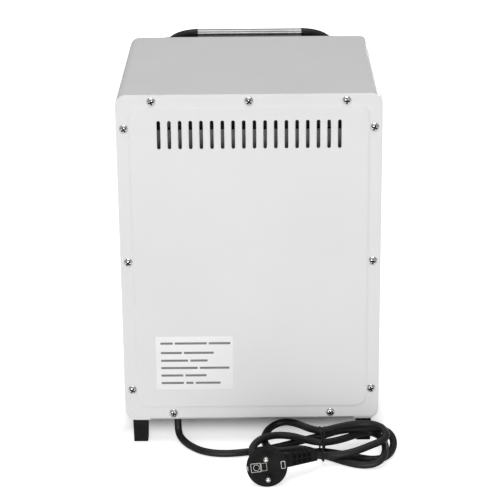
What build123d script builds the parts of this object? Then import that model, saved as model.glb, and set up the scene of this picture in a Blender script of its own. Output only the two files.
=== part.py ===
"""Small upright dry heat sterilizer, in millimetres.

The cabinet stands on four feet with its door towards -Y and its screwed back
panel towards +Y. The origin is on the floor, under the middle of the cabinet
with its handle and its back screws.
"""
from build123d import *
import os
from math import cos, pi, radians, sin, tan

os.makedirs("parts", exist_ok=True)

# Cabinet, as driven by the outside sizes
body_width = 250.0
body_height = 333.0
casing_depth = 228.8
corner_radius = 10.0
sheet = 0.8
foot_height = 25.0
fit_gap = 0.2
seat_gap = 0.3
shaft_gap = 0.05

# Back panel
panel_gauge = 1.0
panel_lift = 2.3
panel_edge_round = 0.7
field_margin = 12.5
field_rise = 1.5
field_corner = 12.0
field_slope = 2.5
slot_count = 18
slot_pitch = 10.0
slot_width = 3.3
slot_length = 27.6
slot_centre_drop = 38.9
back_screw_head = 8.6
back_screw_rise = 2.4
back_screw_dome = 1.92
back_screw_shank = 3.9
back_screw_length = 8.0
back_screw_side_inset = 7.4
back_screw_top_inset = 7.0
back_screw_top_x = 91.4
back_screw_bottom_inset = 5.1
back_screw_bottom_x = 77.7
back_screw_side_drops = (33.0, 166.4, 300.1)

# Casing returns and base pan
return_flange = 14.0
bottom_flange = 24.0
pan_gauge = 1.0
pan_flange = 13.0
base_screw_shank = 3.0
base_screw_head = 6.0
base_screw_head_rise = 1.6
base_screw_length = 5.0
base_screw_step = 60.0

# Feet
foot_width = 15.0
foot_taper = 1.2
foot_round = 1.2
foot_inset_x = 14.1
foot_inset_y = 11.1
foot_bore = 8.6
foot_web = 6.0
foot_screw_head = 7.4
foot_screw_head_height = 3.0
foot_screw_shank = 3.9
foot_screw_reach = 4.0

# Front frame and chamber mouth
bezel_depth = 5.0
bezel_round = 2.2
frame_gauge = 1.2
sleeve_depth = 7.0
chamber_side_room = 27.0
chamber_top_room = 25.0
control_space = 96.0
chamber_rear_room = 43.8
chamber_corner = 6.0
liner_gauge = 0.8
liner_flange = 8.0
runner_reach = 5.0
runner_drop = 6.0
runner_rises = (44.0, 91.0, 138.0)
insulation_thickness = 14.0

# Rear heat shield
shield_gauge = 0.8
shield_distance = 20.0
shield_top_drop = 40.0
shield_bottom_rise = 60.0
shield_flange = 12.0

# Door
door_side_inset = 14.0
door_below_chamber = 14.0
door_top_inset = 3.3
door_top_corner = 26.0
door_bottom_corner = 5.0
door_stand_off = 0.8
door_thickness = 16.2
door_wall = 1.8
door_front_round = 3.5
window_side_border = 30.0
window_bottom_border = 34.0
window_top_border = 33.7
window_corner = 14.0
window_bevel = 1.0
pivot_back = 7.7
inner_panel_gauge = 1.0
inner_panel_recess = 2.7
inner_window_inset = 4.0
inner_panel_lift = 1.2
glass_gauge = 4.0
glass_lap = 8.0
seal_outer_lap = 4.2
seal_inner_lap = 2.0
inner_screw_head = 5.6
inner_screw_rise = 1.4
inner_screw_shank = 2.9
inner_screw_inset = 3.7
inner_screw_lift = 7.0
boss_diameter = 7.0

# Hinges
pin_diameter = 5.0
pin_in_door = 9.0
pin_boss = 11.0
bracket_gap = 0.5
bracket_width = 9.5
bracket_nose = 6.0
bracket_root_height = 18.0
bracket_screw_shank = 2.9
bracket_screw_head = 5.6
bracket_screw_rise = 1.4
bracket_screw_reach = 6.0
bracket_screw_drop = 5.5

# Handle
bar_diameter = 8.5
bar_visible = 111.4
bar_stand_off = 30.0
bar_below_door_top = 3.8
spigot_diameter = 5.0
spigot_length = 7.0
elbow_diameter = 9.2
elbow_radius = 29.0
elbow_droop = 12.0
elbow_pad_width = 12.0
elbow_pad_height = 16.0
elbow_pad_depth = 3.0
handle_screw_shank = 3.4
handle_screw_head = 7.0
handle_screw_rise = 2.2
handle_screw_reach = 9.0

# Magnetic door catch
magnet_width = 34.0
magnet_height = 9.0
magnet_depth = 8.0
magnet_room = 0.8
magnet_below_frame_top = 11.0

# Controls
fascia_side_inset = 14.0
fascia_bottom_inset = 10.0
fascia_height = 65.0
fascia_gauge = 1.5
fascia_corner = 6.0
control_x = 58.0
control_rise = 31.0
neck_diameter = 9.5
neck_hole = 10.0
nut_width = 13.0
nut_height = 2.4
shaft_diameter = 6.0
shaft_tail = 6.0
knob_skirt = 38.0
knob_skirt_depth = 3.0
knob_diameter = 30.0
knob_depth = 14.0
knob_taper = 4.0
knob_lift = 0.8
knob_recess = 20.0
knob_recess_depth = 4.0
knob_edge = 1.2
flute_count = 24
flute_diameter = 2.0
rib_width = 3.0
rib_rise = 1.4
shaft_in_knob = 11.0
thermostat_width = 30.0
thermostat_height = 24.0
thermostat_depth = 22.0
timer_diameter = 40.0
timer_depth = 30.0
control_plate = 1.5
lamp_rise_on_fascia = 45.0
lamp_diameter = 9.0
lamp_flange = 12.0
lamp_rise = 4.0
lamp_dome = 2.8
lamp_body = 8.0
lamp_length = 24.0
lamp_neck = 8.0

# Shelves, tray and heaters
shelf_wire = 4.0
shelf_rod = 2.4
shelf_rod_count = 11
shelf_side_gap = 1.5
shelf_front_gap = 6.0
shelf_corner = 10.0
tray_side_room = 13.0
tray_end_room = 27.0
tray_height = 18.0
tray_gauge = 0.9
tray_corner = 10.0
tray_rim = 4.0
tray_hole = 6.0
tray_hole_step = 26.0
tray_hole_columns = 6
tray_hole_rows = 5
heater_diameter = 6.4
heater_clearance = 14.0
heater_leg_x = 74.0
heater_inner_x = 26.0
heater_bend = 13.0
heater_front_gap = 22.0
heater_back_gap = 34.0
heater_tail = 12.0
bush_neck = 9.6
bush_flange = 14.0
bush_flange_depth = 1.6
insulation_hole = 15.0

# Terminal block on the base pan
terminal_width = 34.0
terminal_depth = 18.0
terminal_height = 15.0
terminal_groove = 3.0
terminal_poles = 3
terminal_x = 40.0
terminal_y = 90.0

# Mains cord and its plug, laid on the floor behind the cabinet
cord_diameter = 7.2
cord_exit_side_inset = 50.8
cord_exit_inset = 12.0
bend_share = 0.45
bush_collar = 13.0
bush_collar_height = 3.0
bush_barrel = 10.6
bush_barrel_height = 4.0
plug_face = 39.0
plug_rim_depth = 6.0
plug_back_diameter = 25.0
plug_body_depth = 23.0
plug_tilt = 16.0
plug_roll = 6.0
plug_x = -14.2
plug_y = 234.5
plug_rim = 1.5
plug_shoulder = 1.75
plug_back_round = 3.0
relief_root = 8.0
relief_round = 2.5
pin_spacing = 19.0
plug_pin_diameter = 4.8
plug_pin_length = 19.0
plug_pin_tip = 2.2
earth_offset = 10.0
earth_hole = 5.2
earth_notch_width = 6.5
earth_notch_depth = 2.2
earth_strip = 0.8
relief_start_size = 13.0
relief_end_size = 10.6
relief_slots = 4
relief_slot_width = 2.2
relief_slot_height = 4.2
relief_slot_depth = 2.4
relief_slot_first = 8.0
relief_slot_pitch = 5.2
tie_x = -68.7
tie_width = 2.4
tie_gauge = 1.2
tie_height = 26.2
waist_front_y = 155.4
waist_rear_y = 207.6
hank_height = 24.4
hank_edge = 4.0
hank_cut = 30.0

# Levels and depths that follow from the sizes above
base_z = foot_height
body_mid_z = base_z + body_height / 2
chamber_width = body_width - 2 * chamber_side_room
chamber_height = body_height - control_space - chamber_top_room
chamber_floor_z = base_z + control_space
chamber_depth = casing_depth - chamber_rear_room
runner_heights = [chamber_floor_z + rise for rise in runner_rises]
door_width = body_width - 2 * door_side_inset
door_bottom_z = chamber_floor_z - door_below_chamber
door_top_z = base_z + body_height - door_top_inset
window_width = door_width - 2 * window_side_border
window_bottom_z = door_bottom_z + window_bottom_border
window_top_z = door_top_z - window_top_border
fascia_width = body_width - 2 * fascia_side_inset
fascia_bottom_z = base_z + fascia_bottom_inset
fascia_top_z = fascia_bottom_z + fascia_height
control_z = fascia_bottom_z + control_rise
lamp_z = fascia_bottom_z + lamp_rise_on_fascia
tray_width = chamber_width - 2 * tray_side_room
tray_depth = chamber_depth - tray_end_room
cord_exit_x = body_width / 2 - cord_exit_side_inset
screw_y_room = back_screw_rise
bar_reach = bezel_depth + door_stand_off + door_thickness + bar_stand_off + bar_diameter / 2
overall_depth = bar_reach + casing_depth + panel_gauge + screw_y_room
back_y = overall_depth / 2 - screw_y_room
casing_rear_y = back_y - panel_gauge
casing_front_y = casing_rear_y - casing_depth
bezel_front_y = casing_front_y - bezel_depth
door_back_y = bezel_front_y - door_stand_off
door_front_y = door_back_y - door_thickness
panel_height = body_height - panel_lift
panel_mid_z = base_z + panel_lift + panel_height / 2
panel_top_z = panel_mid_z + panel_height / 2
panel_bottom_z = base_z + panel_lift
pan_z = base_z + sheet
foot_x = body_width / 2 - foot_inset_x
foot_front_y = casing_front_y + foot_inset_y
foot_rear_y = back_y - foot_inset_y
chamber_mid_z = chamber_floor_z + chamber_height / 2
chamber_top_z = chamber_floor_z + chamber_height
liner_front_y = bezel_front_y + frame_gauge
liner_rear_y = liner_front_y + chamber_depth
pivot_y = door_back_y - pivot_back
pivot_z = door_bottom_z + pivot_back
cord_exit_y = back_y - cord_exit_inset


def facing_front(y):
    """Plane at depth y: local x is +X, local y is +Z and its normal points to -Y."""
    return Plane.XZ.offset(-y)


def sides(x, z):
    """The two places at height z, left and right of the middle."""
    return [(-x, z), (x, z)]


def back_screw_places():
    """The back panel's screws: three along the top, three down each side, two below."""
    places = [(x, panel_top_z - back_screw_top_inset) for x in (-back_screw_top_x, 0, back_screw_top_x)]
    for drop in back_screw_side_drops:
        places += sides(body_width / 2 - back_screw_side_inset, panel_top_z - drop)
    places += sides(back_screw_bottom_x, panel_bottom_z + back_screw_bottom_inset)
    return places


def foot_places():
    """The four feet, front pair first."""
    return [(x, y) for y in (foot_front_y, foot_rear_y) for x in (-foot_x, foot_x)]


def base_screw_places():
    """Screws from the casing's bottom flanges up into the base pan."""
    middle_y = (casing_front_y + casing_rear_y) / 2
    offsets = (-base_screw_step / 2, base_screw_step / 2)
    return [(x, middle_y + dy) for x in (-foot_x, foot_x) for dy in offsets]


# Casing: one sheet folded round the top and sides, with in-turned bottom flanges
return_hole = back_screw_shank + 2 * shaft_gap
with BuildPart() as casing_wrap:
    with BuildSketch(facing_front(casing_rear_y)):
        with Locations((0, body_mid_z)):
            RectangleRounded(body_width, body_height, corner_radius)
            RectangleRounded(body_width - 2 * sheet, body_height - 2 * sheet,
                             corner_radius - sheet, mode=Mode.SUBTRACT)
    extrude(amount=casing_depth)
    with BuildSketch(facing_front(casing_rear_y)):
        with Locations((0, body_mid_z)):
            RectangleRounded(body_width, body_height, corner_radius)
            RectangleRounded(body_width - 2 * return_flange, body_height - 2 * return_flange,
                             corner_radius / 2, mode=Mode.SUBTRACT)
    extrude(amount=sheet)
    with BuildSketch(facing_front(casing_rear_y)):
        with Locations((0, base_z)):
            Rectangle(body_width - 2 * bottom_flange, 2 * (return_flange + seat_gap))
    extrude(amount=casing_depth, mode=Mode.SUBTRACT)
    with BuildSketch(facing_front(casing_rear_y)):
        with Locations(*back_screw_places()):
            Circle(return_hole / 2)
    extrude(amount=sheet, mode=Mode.SUBTRACT)
    with BuildSketch(Plane.XY.offset(base_z)):
        with Locations(*foot_places()):
            Circle(foot_screw_shank / 2 + shaft_gap)
        with Locations(*base_screw_places()):
            Circle(base_screw_shank / 2 + shaft_gap)
    extrude(amount=sheet, mode=Mode.SUBTRACT)
casing_wrap.part.label = "casing_wrap"
export_step(casing_wrap.part, "parts/casing_wrap.step")

# Back panel: flat rim, pressed field that stands out, and a row of vent slots
field_width = body_width - 2 * field_margin
field_height = panel_height - 2 * field_margin
with BuildPart() as back_panel:
    with BuildSketch(facing_front(back_y)):
        with Locations((0, panel_mid_z)):
            RectangleRounded(body_width, panel_height, corner_radius)
    extrude(amount=panel_gauge)
    rim_face = back_panel.faces().sort_by(Axis.Y)[-1]
    fillet(rim_face.edges(), panel_edge_round)
    with BuildSketch(facing_front(back_y)):
        with Locations((0, panel_mid_z)):
            RectangleRounded(field_width, field_height, field_corner)
    with BuildSketch(facing_front(back_y + field_rise)):
        with Locations((0, panel_mid_z)):
            RectangleRounded(field_width - 2 * field_slope, field_height - 2 * field_slope,
                             field_corner - field_slope)
    loft()
    with BuildSketch(facing_front(casing_rear_y)):
        with Locations((0, panel_mid_z)):
            RectangleRounded(field_width - 2 * panel_gauge, field_height - 2 * panel_gauge,
                             field_corner - panel_gauge)
    with BuildSketch(facing_front(casing_rear_y + field_rise)):
        with Locations((0, panel_mid_z)):
            RectangleRounded(field_width - 2 * (panel_gauge + field_slope),
                             field_height - 2 * (panel_gauge + field_slope),
                             field_corner - panel_gauge - field_slope)
    loft(mode=Mode.SUBTRACT)
    with BuildSketch(facing_front(back_y + field_rise)):
        with Locations((0, panel_top_z - slot_centre_drop)):
            with GridLocations(slot_pitch, 0, slot_count, 1):
                SlotOverall(slot_length, slot_width, rotation=90)
    extrude(amount=field_rise + panel_gauge, mode=Mode.SUBTRACT)
    with BuildSketch(facing_front(back_y)):
        with Locations(*back_screw_places()):
            Circle(back_screw_shank / 2 + fit_gap)
    extrude(amount=panel_gauge, mode=Mode.SUBTRACT)
back_panel.part.label = "back_panel"
export_step(back_panel.part, "parts/back_panel.step")

# Domed screws that hold the back panel
with BuildPart() as back_panel_screws:
    with BuildSketch(facing_front(back_y)):
        with Locations(*back_screw_places()):
            Circle(back_screw_head / 2)
    extrude(amount=-back_screw_rise)
    head_tops = back_panel_screws.faces().group_by(Axis.Y)[-1]
    fillet(head_tops.edges(), back_screw_dome)
    with BuildSketch(facing_front(back_y)):
        with Locations(*back_screw_places()):
            Circle(back_screw_shank / 2)
    extrude(amount=back_screw_length)
back_panel_screws.part.label = "back_panel_screws"
export_step(back_panel_screws.part, "parts/back_panel_screws.step")

# Base pan: floor plate on the casing's bottom flanges, with front and rear upstands
pan_front_y = casing_front_y + sleeve_depth + seat_gap
pan_half = body_width / 2 - corner_radius - fit_gap
upstand_width = body_width - 2 * (bottom_flange + fit_gap)
with BuildPart() as base_pan:
    with BuildSketch(Plane.XY.offset(pan_z)):
        with Locations((0, (pan_front_y + casing_rear_y - pan_gauge) / 2)):
            Rectangle(2 * pan_half, casing_rear_y - pan_gauge - pan_front_y)
    extrude(amount=pan_gauge)
    with BuildSketch(facing_front(casing_rear_y)):
        with Locations((0, pan_z)):
            Rectangle(upstand_width, pan_flange, align=(Align.CENTER, Align.MIN))
        with Locations(*back_screw_places()):
            Circle(return_hole / 2, mode=Mode.SUBTRACT)
    extrude(amount=pan_gauge)
    with BuildSketch(facing_front(pan_front_y + pan_gauge)):
        with Locations((0, pan_z)):
            Rectangle(2 * pan_half, pan_flange, align=(Align.CENTER, Align.MIN))
    extrude(amount=pan_gauge)
    with BuildSketch(Plane.XY.offset(pan_z)):
        with Locations(*foot_places()):
            Circle(foot_screw_shank / 2 + shaft_gap)
        with Locations(*base_screw_places()):
            Circle(base_screw_shank / 2 + shaft_gap)
        with Locations((cord_exit_x, cord_exit_y)):
            Circle(bush_barrel / 2 + shaft_gap)
    extrude(amount=pan_gauge, mode=Mode.SUBTRACT)
base_pan.part.label = "base_pan"
export_step(base_pan.part, "parts/base_pan.step")

with BuildPart() as base_pan_screws:
    with BuildSketch(Plane.XY.offset(base_z)):
        with Locations(*base_screw_places()):
            Circle(base_screw_head / 2)
    extrude(amount=-base_screw_head_rise)
    with BuildSketch(Plane.XY.offset(base_z)):
        with Locations(*base_screw_places()):
            Circle(base_screw_shank / 2)
    extrude(amount=base_screw_length)
base_pan_screws.part.label = "base_pan_screws"
export_step(base_pan_screws.part, "parts/base_pan_screws.step")


# Feet: tapered rubber blocks, bored from below for their screws
def make_foot(x, y):
    """One square foot under the casing's flange."""
    with BuildPart() as foot:
        with BuildSketch(Plane.XY.offset(base_z)):
            with Locations((x, y)):
                RectangleRounded(foot_width, foot_width, foot_round)
        extrude(amount=-foot_height, taper=foot_taper)
        with BuildSketch(Plane.XY):
            with Locations((x, y)):
                Circle(foot_bore / 2)
        extrude(amount=foot_height - foot_web, mode=Mode.SUBTRACT)
        with BuildSketch(Plane.XY):
            with Locations((x, y)):
                Circle(foot_screw_shank / 2 + shaft_gap)
        extrude(amount=foot_height, mode=Mode.SUBTRACT)
    return foot


foot_names = ("foot_front_right", "foot_front_left", "foot_rear_right", "foot_rear_left")
for foot_name, foot_place in zip(foot_names, foot_places()):
    foot = make_foot(*foot_place)
    foot.part.label = foot_name
    export_step(foot.part, f"parts/{foot_name}.step")

with BuildPart() as foot_screws:
    with BuildSketch(Plane.XY.offset(foot_height - foot_web)):
        with Locations(*foot_places()):
            Circle(foot_screw_head / 2)
    extrude(amount=-foot_screw_head_height)
    with BuildSketch(Plane.XY.offset(foot_height - foot_web)):
        with Locations(*foot_places()):
            Circle(foot_screw_shank / 2)
    extrude(amount=foot_web + sheet + pan_gauge + foot_screw_reach)
foot_screws.part.label = "foot_screws"
export_step(foot_screws.part, "parts/foot_screws.step")

# Front frame: painted surround with a sleeve that slides into the casing
sleeve_width = body_width - 2 * (sheet + fit_gap)
sleeve_height = body_height - 2 * (sheet + fit_gap)
sleeve_corner = corner_radius - sheet - fit_gap
bracket_x = door_width / 2 + bracket_gap + bracket_width / 2
lower_bracket_screws = sides(bracket_x, pivot_z - bracket_screw_drop)
upper_bracket_screws = sides(bracket_x, pivot_z + bracket_screw_drop)
bracket_screw_places = lower_bracket_screws + upper_bracket_screws
magnet_z = chamber_top_z + magnet_below_frame_top
with BuildPart() as front_frame:
    with BuildSketch(facing_front(casing_front_y)):
        with Locations((0, body_mid_z)):
            RectangleRounded(body_width, body_height, corner_radius)
    extrude(amount=bezel_depth)
    surround_face = front_frame.faces().sort_by(Axis.Y)[0]
    fillet(surround_face.edges(), bezel_round)
    with BuildSketch(facing_front(casing_front_y)):
        with Locations((0, body_mid_z)):
            RectangleRounded(sleeve_width - 2 * frame_gauge, sleeve_height - 2 * frame_gauge,
                             sleeve_corner - frame_gauge)
    extrude(amount=bezel_depth - frame_gauge, mode=Mode.SUBTRACT)
    with BuildSketch(facing_front(casing_front_y)):
        with Locations((0, body_mid_z)):
            RectangleRounded(sleeve_width, sleeve_height, sleeve_corner)
            RectangleRounded(sleeve_width - 2 * frame_gauge, sleeve_height - 2 * frame_gauge,
                             sleeve_corner - frame_gauge, mode=Mode.SUBTRACT)
    extrude(amount=-sleeve_depth)
    with BuildSketch(facing_front(liner_front_y)):
        with Locations((0, chamber_mid_z)):
            RectangleRounded(chamber_width, chamber_height, chamber_corner)
        with Locations(*sides(control_x, control_z)):
            Circle(neck_hole / 2)
        with Locations((0, lamp_z)):
            Circle(lamp_neck / 2 + fit_gap)
        with Locations(*bracket_screw_places):
            Circle(bracket_screw_shank / 2 + fit_gap)
        with Locations((0, magnet_z)):
            Rectangle(magnet_width + 2 * fit_gap, magnet_height + 2 * fit_gap)
    extrude(amount=frame_gauge, mode=Mode.SUBTRACT)
front_frame.part.label = "front_frame"
export_step(front_frame.part, "parts/front_frame.step")

# Magnet bar of the door catch, set in the frame above the chamber
with BuildPart() as door_magnet:
    with BuildSketch(facing_front(bezel_front_y)):
        with Locations((0, magnet_z)):
            Rectangle(magnet_width, magnet_height)
    extrude(amount=-magnet_depth)
    with BuildSketch(facing_front(liner_front_y)):
        with Locations((0, magnet_z)):
            Rectangle(magnet_width + magnet_height, magnet_height)
    extrude(amount=-liner_gauge)
door_magnet.part.label = "door_magnet"
export_step(door_magnet.part, "parts/door_magnet.step")

# Chamber liner: folded steel box with pressed shelf runners and a front flange
with BuildSketch() as chamber_section:
    with Locations((0, chamber_mid_z)):
        RectangleRounded(chamber_width, chamber_height, chamber_corner)
    for height in runner_heights:
        for side in (-1, 1):
            wall_x = side * chamber_width / 2
            with BuildLine():
                Polyline((wall_x, height), (wall_x - side * runner_reach, height),
                         (wall_x - side * runner_reach, height - liner_gauge),
                         (wall_x, height - runner_drop), close=True)
            make_face(mode=Mode.SUBTRACT)

heater_levels = (chamber_floor_z + heater_clearance, chamber_top_z - heater_clearance)
heater_holes = [(x, z) for z in heater_levels for x in (-heater_leg_x, heater_leg_x)]
with BuildPart() as chamber_liner:
    with BuildSketch(facing_front(liner_front_y)):
        add(chamber_section.sketch)
        offset(amount=liner_gauge, kind=Kind.INTERSECTION)
    extrude(amount=-(chamber_depth + liner_gauge))
    with BuildSketch(facing_front(liner_front_y)):
        with Locations((0, chamber_mid_z)):
            RectangleRounded(chamber_width + 2 * liner_flange, chamber_height + 2 * liner_flange,
                             chamber_corner + liner_flange)
        with Locations((0, magnet_z)):
            Rectangle(magnet_width + magnet_height + 2 * fit_gap, magnet_height + 2 * fit_gap,
                      mode=Mode.SUBTRACT)
    extrude(amount=-liner_gauge)
    with BuildSketch(facing_front(liner_front_y)):
        add(chamber_section.sketch)
    extrude(amount=-chamber_depth, mode=Mode.SUBTRACT)
    with BuildSketch(facing_front(liner_rear_y + liner_gauge)):
        with Locations(*heater_holes):
            Circle(bush_neck / 2 + shaft_gap)
    extrude(amount=liner_gauge, mode=Mode.SUBTRACT)
chamber_liner.part.label = "chamber_liner"
export_step(chamber_liner.part, "parts/chamber_liner.step")

# Insulation: mineral wool jacket round the liner, open at the front
jacket_front_y = liner_front_y + liner_gauge + seat_gap
jacket_inner_width = chamber_width + 2 * (liner_gauge + seat_gap)
jacket_inner_height = chamber_height + 2 * (liner_gauge + seat_gap)
jacket_inner_y = liner_rear_y + liner_gauge + seat_gap
jacket_rear_y = jacket_inner_y + insulation_thickness
magnet_pocket = magnet_width + magnet_height + magnet_room
with BuildPart() as insulation_jacket:
    with BuildSketch(facing_front(jacket_front_y)):
        with Locations((0, chamber_mid_z)):
            RectangleRounded(jacket_inner_width + 2 * insulation_thickness,
                             jacket_inner_height + 2 * insulation_thickness, insulation_thickness)
    extrude(amount=-(jacket_rear_y - jacket_front_y))
    with BuildSketch(facing_front(jacket_front_y)):
        with Locations((0, chamber_mid_z)):
            RectangleRounded(jacket_inner_width, jacket_inner_height, chamber_corner)
    extrude(amount=-(jacket_inner_y - jacket_front_y), mode=Mode.SUBTRACT)
    with BuildSketch(facing_front(jacket_rear_y)):
        with Locations(*heater_holes):
            Circle(insulation_hole / 2)
    extrude(amount=insulation_thickness, mode=Mode.SUBTRACT)
    with BuildSketch(facing_front(jacket_front_y)):
        with Locations((0, magnet_z)):
            Rectangle(magnet_pocket, magnet_height + magnet_room)
    extrude(amount=-magnet_depth, mode=Mode.SUBTRACT)
insulation_jacket.part.label = "insulation_jacket"
export_step(insulation_jacket.part, "parts/insulation_jacket.step")

# Heat shield between the insulation and the back panel, flanged to the casing's sides
shield_y = casing_rear_y - shield_distance
shield_half = body_width / 2 - sheet - fit_gap
shield_bottom_z = base_z + shield_bottom_rise
shield_top_z = panel_top_z - shield_top_drop
with BuildPart() as rear_heat_shield:
    with BuildSketch(facing_front(shield_y)):
        with Locations((0, shield_bottom_z)):
            Rectangle(2 * shield_half, shield_top_z - shield_bottom_z, align=(Align.CENTER, Align.MIN))
    extrude(amount=shield_gauge)
    with BuildSketch(facing_front(shield_y)):
        for side in (-1, 1):
            with Locations((side * (shield_half - shield_gauge / 2), shield_bottom_z)):
                Rectangle(shield_gauge, shield_top_z - shield_bottom_z, align=(Align.CENTER, Align.MIN))
    extrude(amount=shield_flange)
rear_heat_shield.part.label = "rear_heat_shield"
export_step(rear_heat_shield.part, "parts/rear_heat_shield.step")


# Shelves: welded wire grids that rest on the runners
shelf_half = chamber_width / 2 - shelf_side_gap
shelf_front_y = liner_front_y + shelf_front_gap
shelf_rear_y = liner_rear_y - shelf_side_gap
shelf_mid_y = (shelf_front_y + shelf_rear_y) / 2


def make_shelf(runner_z):
    """One shelf, its frame wire just above a runner and its rods across the top."""
    frame_z = runner_z + shelf_wire / 2 + shaft_gap
    rod_z = frame_z + shelf_wire / 2 - shelf_rod / 4
    ring_half_x = shelf_half - shelf_wire / 2
    ring_depth = shelf_rear_y - shelf_front_y - shelf_wire
    ring_front_y = shelf_mid_y - ring_depth / 2
    ring_rear_y = shelf_mid_y + ring_depth / 2
    with BuildPart() as shelf:
        with BuildLine() as half_ring:
            FilletPolyline((0, ring_front_y, frame_z), (ring_half_x, ring_front_y, frame_z),
                           (ring_half_x, ring_rear_y, frame_z), (0, ring_rear_y, frame_z),
                           radius=shelf_corner)
        with BuildSketch(Plane(origin=half_ring.line @ 0, z_dir=half_ring.line % 0)):
            Circle(shelf_wire / 2)
        sweep(path=half_ring.line)
        mirror(about=Plane.YZ)
        with BuildSketch(facing_front(shelf_mid_y)):
            with Locations((0, rod_z)):
                with GridLocations(2 * ring_half_x / (shelf_rod_count + 1), 0, shelf_rod_count, 1):
                    Circle(shelf_rod / 2)
        extrude(amount=ring_depth / 2, both=True)
    return shelf


lower_shelf = make_shelf(runner_heights[0])
lower_shelf.part.label = "lower_shelf"
export_step(lower_shelf.part, "parts/lower_shelf.step")

upper_shelf = make_shelf(runner_heights[2])
upper_shelf.part.label = "upper_shelf"
export_step(upper_shelf.part, "parts/upper_shelf.step")

# Instrument tray: pressed pan with a rolled rim and a perforated floor
shelf_top_rise = 2 * shaft_gap + shelf_wire + shelf_rod / 4
tray_z = runner_heights[0] + shelf_top_rise
tray_edges = 2 * (tray_rim + tray_gauge)
with BuildPart() as instrument_tray:
    with BuildSketch(Plane.XY.offset(tray_z)):
        with Locations((0, shelf_mid_y)):
            RectangleRounded(tray_width - 2 * tray_rim, tray_depth - 2 * tray_rim, tray_corner)
    extrude(amount=tray_height)
    with BuildSketch(Plane.XY.offset(tray_z + tray_height)):
        with Locations((0, shelf_mid_y)):
            RectangleRounded(tray_width, tray_depth, tray_corner + tray_rim)
    extrude(amount=-tray_gauge)
    with BuildSketch(Plane.XY.offset(tray_z + tray_gauge)):
        with Locations((0, shelf_mid_y)):
            RectangleRounded(tray_width - tray_edges, tray_depth - tray_edges, tray_corner - tray_gauge)
    extrude(amount=tray_height, mode=Mode.SUBTRACT)
    with BuildSketch(Plane.XY.offset(tray_z)):
        with Locations((0, shelf_mid_y)):
            with GridLocations(tray_hole_step, tray_hole_step, tray_hole_columns, tray_hole_rows):
                RegularPolygon(tray_hole / 2, side_count=6)
    extrude(amount=tray_gauge, mode=Mode.SUBTRACT)
instrument_tray.part.label = "instrument_tray"
export_step(instrument_tray.part, "parts/instrument_tray.step")


# Heaters: bent tubular elements whose cold ends leave through the liner's rear wall
def make_heater(z):
    """One element at height z, in four legs."""
    tail_y = liner_rear_y + liner_gauge + heater_tail
    front_y = liner_front_y + heater_front_gap
    inner_y = liner_rear_y - heater_back_gap
    with BuildPart() as heater:
        with BuildLine() as route:
            FilletPolyline((-heater_leg_x, tail_y, z), (-heater_leg_x, front_y, z),
                           (-heater_inner_x, front_y, z), (-heater_inner_x, inner_y, z),
                           (heater_inner_x, inner_y, z), (heater_inner_x, front_y, z),
                           (heater_leg_x, front_y, z), (heater_leg_x, tail_y, z), radius=heater_bend)
        with BuildSketch(Plane(origin=route.line @ 0, z_dir=route.line % 0)):
            Circle(heater_diameter / 2)
        sweep(path=route.line)
    return heater


lower_heater = make_heater(heater_levels[0])
lower_heater.part.label = "lower_heater"
export_step(lower_heater.part, "parts/lower_heater.step")

upper_heater = make_heater(heater_levels[1])
upper_heater.part.label = "upper_heater"
export_step(upper_heater.part, "parts/upper_heater.step")

with BuildPart() as heater_bushes:
    with BuildSketch(facing_front(liner_rear_y)):
        with Locations(*heater_holes):
            Circle(bush_flange / 2)
            Circle(heater_diameter / 2 + shaft_gap, mode=Mode.SUBTRACT)
    extrude(amount=bush_flange_depth)
    with BuildSketch(facing_front(liner_rear_y)):
        with Locations(*heater_holes):
            Circle(bush_neck / 2)
            Circle(heater_diameter / 2 + shaft_gap, mode=Mode.SUBTRACT)
    extrude(amount=-(liner_gauge + insulation_thickness / 2))
heater_bushes.part.label = "heater_bushes"
export_step(heater_bushes.part, "parts/heater_bushes.step")

# Control fascia below the door
fascia_mid_z = (fascia_bottom_z + fascia_top_z) / 2
fascia_front_y = bezel_front_y - fascia_gauge
with BuildPart() as control_fascia:
    with BuildSketch(facing_front(bezel_front_y)):
        with Locations((0, fascia_mid_z)):
            RectangleRounded(fascia_width, fascia_top_z - fascia_bottom_z, fascia_corner)
        with Locations(*sides(control_x, control_z)):
            Circle(neck_hole / 2, mode=Mode.SUBTRACT)
        with Locations((0, lamp_z)):
            Circle(lamp_neck / 2 + fit_gap, mode=Mode.SUBTRACT)
    extrude(amount=fascia_gauge)
    fascia_face = control_fascia.faces().sort_by(Axis.Y)[0]
    fillet(fascia_face.outer_wire().edges(), fascia_gauge / 2)
control_fascia.part.label = "control_fascia"
export_step(control_fascia.part, "parts/control_fascia.step")

# Thermostat and timer: bodies behind the frame, necks and nuts in front, turning shafts
neck_front_y = fascia_front_y - nut_height
knob_back_y = fascia_front_y - knob_lift
knob_front_y = knob_back_y - knob_skirt_depth - knob_depth
with BuildPart() as thermostat_body:
    with BuildSketch(facing_front(liner_front_y)):
        with Locations((-control_x, control_z)):
            RectangleRounded(thermostat_width, thermostat_height, control_plate)
    extrude(amount=-(control_plate + thermostat_depth))
    with BuildSketch(facing_front(liner_front_y)):
        with Locations((-control_x, control_z)):
            Circle(neck_diameter / 2)
    extrude(amount=liner_front_y - neck_front_y)
    with BuildSketch(facing_front(neck_front_y)):
        with Locations((-control_x, control_z)):
            Circle(shaft_diameter / 2 + shaft_gap)
    extrude(amount=-(liner_front_y - neck_front_y + shaft_tail), mode=Mode.SUBTRACT)
thermostat_body.part.label = "thermostat_body"
export_step(thermostat_body.part, "parts/thermostat_body.step")

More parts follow.
